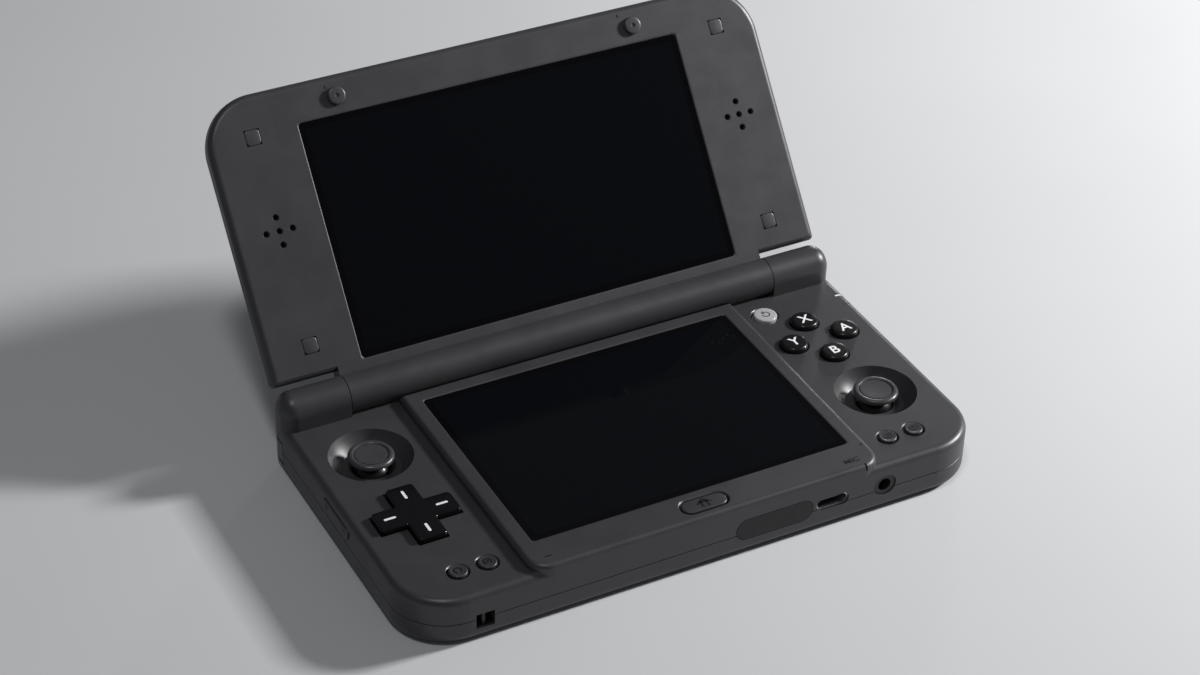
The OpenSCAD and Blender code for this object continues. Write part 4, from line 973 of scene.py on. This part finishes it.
def lettering(name, words, height, weight, finish, body, place, widen=1.0):
    """Printed words of that letter height in millimetres, centred on place."""
    text = bpy.data.curves.new(name, "FONT")
    text.body = words
    text.size = height * MM / CAPITAL
    text.offset = weight * MM
    text.extrude = INK_HALF * MM
    text.resolution_u = 6
    shown = bpy.data.objects.new(name + "_text", text)
    scene.collection.objects.link(shown)
    ready = shown.evaluated_get(bpy.context.evaluated_depsgraph_get())
    mesh = bpy.data.meshes.new_from_object(ready)
    bpy.data.objects.remove(shown)
    mesh.name = name
    xs, ys = [[v.co[i] for v in mesh.vertices] for i in range(2)]
    middle = Vector(((min(xs) + max(xs)) / 2, (min(ys) + max(ys)) / 2, 0))
    mesh.transform(place @ Matrix.Diagonal((widen, 1, 1, 1))
                   @ Matrix.Translation(-middle))
    shape = bmesh.new()
    shape.from_mesh(mesh)
    bmesh.ops.remove_doubles(shape, verts=shape.verts, dist=1e-7)
    bmesh.ops.recalc_face_normals(shape, faces=shape.faces)
    shape.to_mesh(mesh)
    shape.free()
    mesh.materials.clear()
    mesh.materials.append(finish)
    return carried(name, mesh, body)


for letter, (x, y) in FACE_BUTTONS.items():
    lettering("letter_" + letter, letter.upper(), 3.0, 0.07, WHITE_INK,
              "button_" + letter, at(x, y, FACE_TOP + 0.04))
label = lettering("label_mic", "MIC", 1.5, 0.06, DARK_INK, "base",
                  at(41.0, -39.3, TRAY + 0.01), widen=1.2)
print("letters:", [letter.upper() for letter in FACE_BUTTONS], "and", label.name)

# %% [markdown]
# ## Icons
# The small icons are drawn as strokes. A stroke is a path with a width and round
# ends, or a closed path; `brushed` turns it into a ribbon a few hundredths of a
# millimetre thick, so an icon is a list of short paths.

# %% Strokes
ICON_HALF = 0.03       # half the thickness of an icon's ink, mm
END_STEPS = 6          # faces round the end of a stroke


def round_end(tip, start, radius):
    """The points between start and its opposite, clockwise round tip."""
    base = math.atan2(start.y - tip.y, start.x - tip.x)
    turns = [base - math.pi * k / END_STEPS for k in range(1, END_STEPS)]
    return [tip + Vector((math.cos(a), math.sin(a))) * radius for a in turns]


def brushed(shape, path, width, closed=False):
    """Adds one stroke of that width along path, in millimetres."""
    def ring(points, height):
        return [shape.verts.new((p.x, p.y, height)) for p in points]

    points = [Vector(point) for point in path]
    last = len(points) - 1
    left, right = [], []
    for i, point in enumerate(points):
        before = points[i - 1] if closed or i else point
        after = points[(i + 1) % len(points)] if closed or i < last else point
        way = (after - before).normalized()
        side = Vector((-way.y, way.x)) * width / 2
        left.append(point + side)
        right.append(point - side)
    if closed:
        rings = [ring(left, -ICON_HALF), ring(left, ICON_HALF),
                 ring(right, ICON_HALF), ring(right, -ICON_HALF)]
        for low, high in zip(rings, rings[1:] + rings[:1]):
            bridge(shape, low, high)
        return
    outline = (left + round_end(points[-1], left[-1], width / 2)
               + right[::-1] + round_end(points[0], right[0], width / 2))
    bottom, top = ring(outline, -ICON_HALF), ring(outline, ICON_HALF)
    bridge(shape, bottom, top)
    shape.faces.new(bottom)
    shape.faces.new(top)


def icon(name, strokes, body, place):
    """A printed icon: strokes are (path, width) or (path, width, closed)."""
    def build(shape):
        for stroke in strokes:
            brushed(shape, *stroke)
    return piece(name, build, DARK_INK, body, place, smooth=20.0)


print("stroke helper ready")

# %% Icons on the small keys
DOT = corner_arc(0, 0, 0.2, 0, 345, 12)
SCREEN = rounded_rectangle(2.1, 1.5, 0.4, 5)(0.0)
LEGENDS = {
    "left_outer": [(corner_arc(0, 0.1, 0.95, -60, 300, 20), 0.36)],
    "left_inner": [(corner_arc(0, 0.05, 0.95, 225, -270, 20), 0.44), (DOT, 0.36, True)],
    "right_inner": [(SCREEN, 0.34, True), ([(-0.35, 0.0), (0.35, 0.0)], 0.42)],
    "right_outer": [(SCREEN, 0.34, True), ([(0.0, -0.6), (0.0, 0.6)], 0.34)],
}
for side, strokes in LEGENDS.items():
    x, y = SMALL_BUTTONS[side]
    icon("icon_" + side, strokes, "small_button_" + side, at(x, y, SMALL_TOP - 0.08))
print("small key icons:", list(LEGENDS))

# %% Icons on the home and return keys
roof = [([(-1.75, 0.0), (0.0, 1.5), (1.75, 0.0)], 0.55),
        ([(-0.95, 0.35), (0.95, 0.35)], 0.5), ([(-0.4, 0.8), (0.4, 0.8)], 0.5)]
walls = [([(x, 0.2), (x, -1.3)], 0.62) for x in (-0.78, 0.78)]
icon("icon_home", roof + walls, "home_button", at(*HOME_BUTTON, HOME_TOP))
bent = [(corner_arc(0.1, -0.15, 1.0, 110, -290, 20), 0.3),
        ([(-0.15, 1.3), (-0.75, 0.75), (-0.1, 0.3)], 0.28)]
icon("icon_return", bent, "return_button", at(*RETURN_BUTTON, RETURN_TOP + 0.05))
print("strokes of the house:", len(roof + walls), "and of the arrow:", len(bent))

# %% [markdown]
# ## Marks on the tray and side keys
# A dash and a dot are printed at the tray's front corners. The volume rocker has
# a plus and a minus, and the power key the usual broken ring.

# %% Marks
MARKS = [
    ("mark_tray_dash", "base", at(-42.8, -39.3, TRAY),
     [([(-0.7, 0.0), (0.7, 0.0)], 0.4)]),
    ("mark_tray_dot", "base", at(46.65, -34.7, TRAY), [(DOT, 0.4, True)]),
    ("icon_volume", "volume_rocker", ON_LEFT @ at(0, 0, VOLUME_TOP),
     [([(-5.9, 0), (-4.5, 0)], 0.3), ([(4.5, 0), (5.9, 0)], 0.3),
      ([(-5.2, -0.7), (-5.2, 0.7)], 0.3)]),
    ("icon_power", "power_button", ON_RIGHT @ at(0, 0, POWER_TOP),
     [(corner_arc(0, -0.05, 0.75, 60, -300, 20), 0.22), ([(0, 0.25), (0, 0.95)], 0.22)]),
]
for name, body, place, strokes in MARKS:
    icon(name, strokes, body, place)
print("marks:", [name for name, *_ in MARKS])

# %% [markdown]
# ## Cover glasses
# Each display sits behind one flat glass whose edge has a fine polished chamfer.
# The glass is a stack of rounded rectangles with hardly rounded corners. Its UV
# map runs from 0 to 1 across and up its face, which the finish needs to tell the
# active area from the border.

# %% Cover glasses
GLASS_SEAT = 0.95      # underside of a glass below the shell's face, mm
GLASS = [(0.0, 0.0), (0.0, 0.63), (0.05, 0.71), (0.12, 0.75)]    # inset, height


def glass_piece(name, width, depth, middle, face, finish, body, stand, replaces):
    outline = rounded_rectangle(width - 0.04, depth - 0.04, 0.5, 6)

    def build(shape):
        stacked(shape, [(outline, inset, face - GLASS_SEAT + height)
                        for inset, height in GLASS])
        bmesh.ops.translate(shape, verts=shape.verts, vec=(0, middle, 0))
    made = piece(name, build, finish, body, stand, [replaces],
                 smooth=20.0)
    chart = made.data.uv_layers.new(name="face")
    back = stand.inverted()
    for loop in made.data.loops:
        spot = back @ made.data.vertices[loop.vertex_index].co / MM
        chart.data[loop.index].uv = (spot.x / width + 0.5,
                                     (spot.y - middle) / depth + 0.5)
    return made


UPPER_MIDDLE, LOWER_MIDDLE = 38.3, -1.7    # the glasses' middles, along v and y
upper = glass_piece("upper_glass", 108.8, 61.6, UPPER_MIDDLE, FACE, UPPER_GLASS,
                    "lid", LID, "upper_screen_glass")
lower = glass_piece("lower_glass", 87.8, 62.4, LOWER_MIDDLE, TRAY, LOWER_GLASS,
                    "base", at(0, 0), "lower_screen_glass")
print("glasses:", upper.name, lower.name)

# %% [markdown]
# ## Window lips
# Round each glass the shell's opening ends in a soft lip, which draws a thin
# bright line on the side that faces the lamp. A lip is a ring of shell plastic
# lying in the chamfer of the opening. Its outer edge is square like the chamfer,
# and its inner edge has corners of one millimetre.

# %% Window lips
# Each ring is an inset, a height over the shell's face and a corner radius, in mm.
LIP = [(-0.10, -0.195, 0.02), (-0.28, -0.005, 0.02), (-0.10, -0.01, 0.8),
       (0.04, -0.06, 0.9), (0.13, -0.13, 0.96), (0.17, -0.195, 1.0)]


def window_lip(name, width, depth, middle, face, body, stand):
    """Ring round an opening of width by depth."""
    def build(shape):
        rings = [[shape.verts.new((x, y + middle, face + height)) for x, y in
                  rounded_rectangle(width - 2 * inset, depth - 2 * inset, corner)(0.0)]
                 for inset, height, corner in LIP]
        for low, high in zip(rings, rings[1:] + rings[:1]):
            bridge(shape, low, high)
    return piece(name, build, CHARCOAL, body, stand)


upper_lip = window_lip("upper_window_lip", 109.04, 61.84, UPPER_MIDDLE, FACE,
                       "lid", LID)
lower_lip = window_lip("lower_window_lip", 88.04, 62.64, LOWER_MIDDLE, TRAY,
                       "base", at(0, 0))
print("lips' volume signs:", [volume_sign(lip.data) for lip in (upper_lip, lower_lip)])

# %% [markdown]
# ## Last step
# Nothing more is built after this; every piece above is in place.

# %% End
print("scene built")
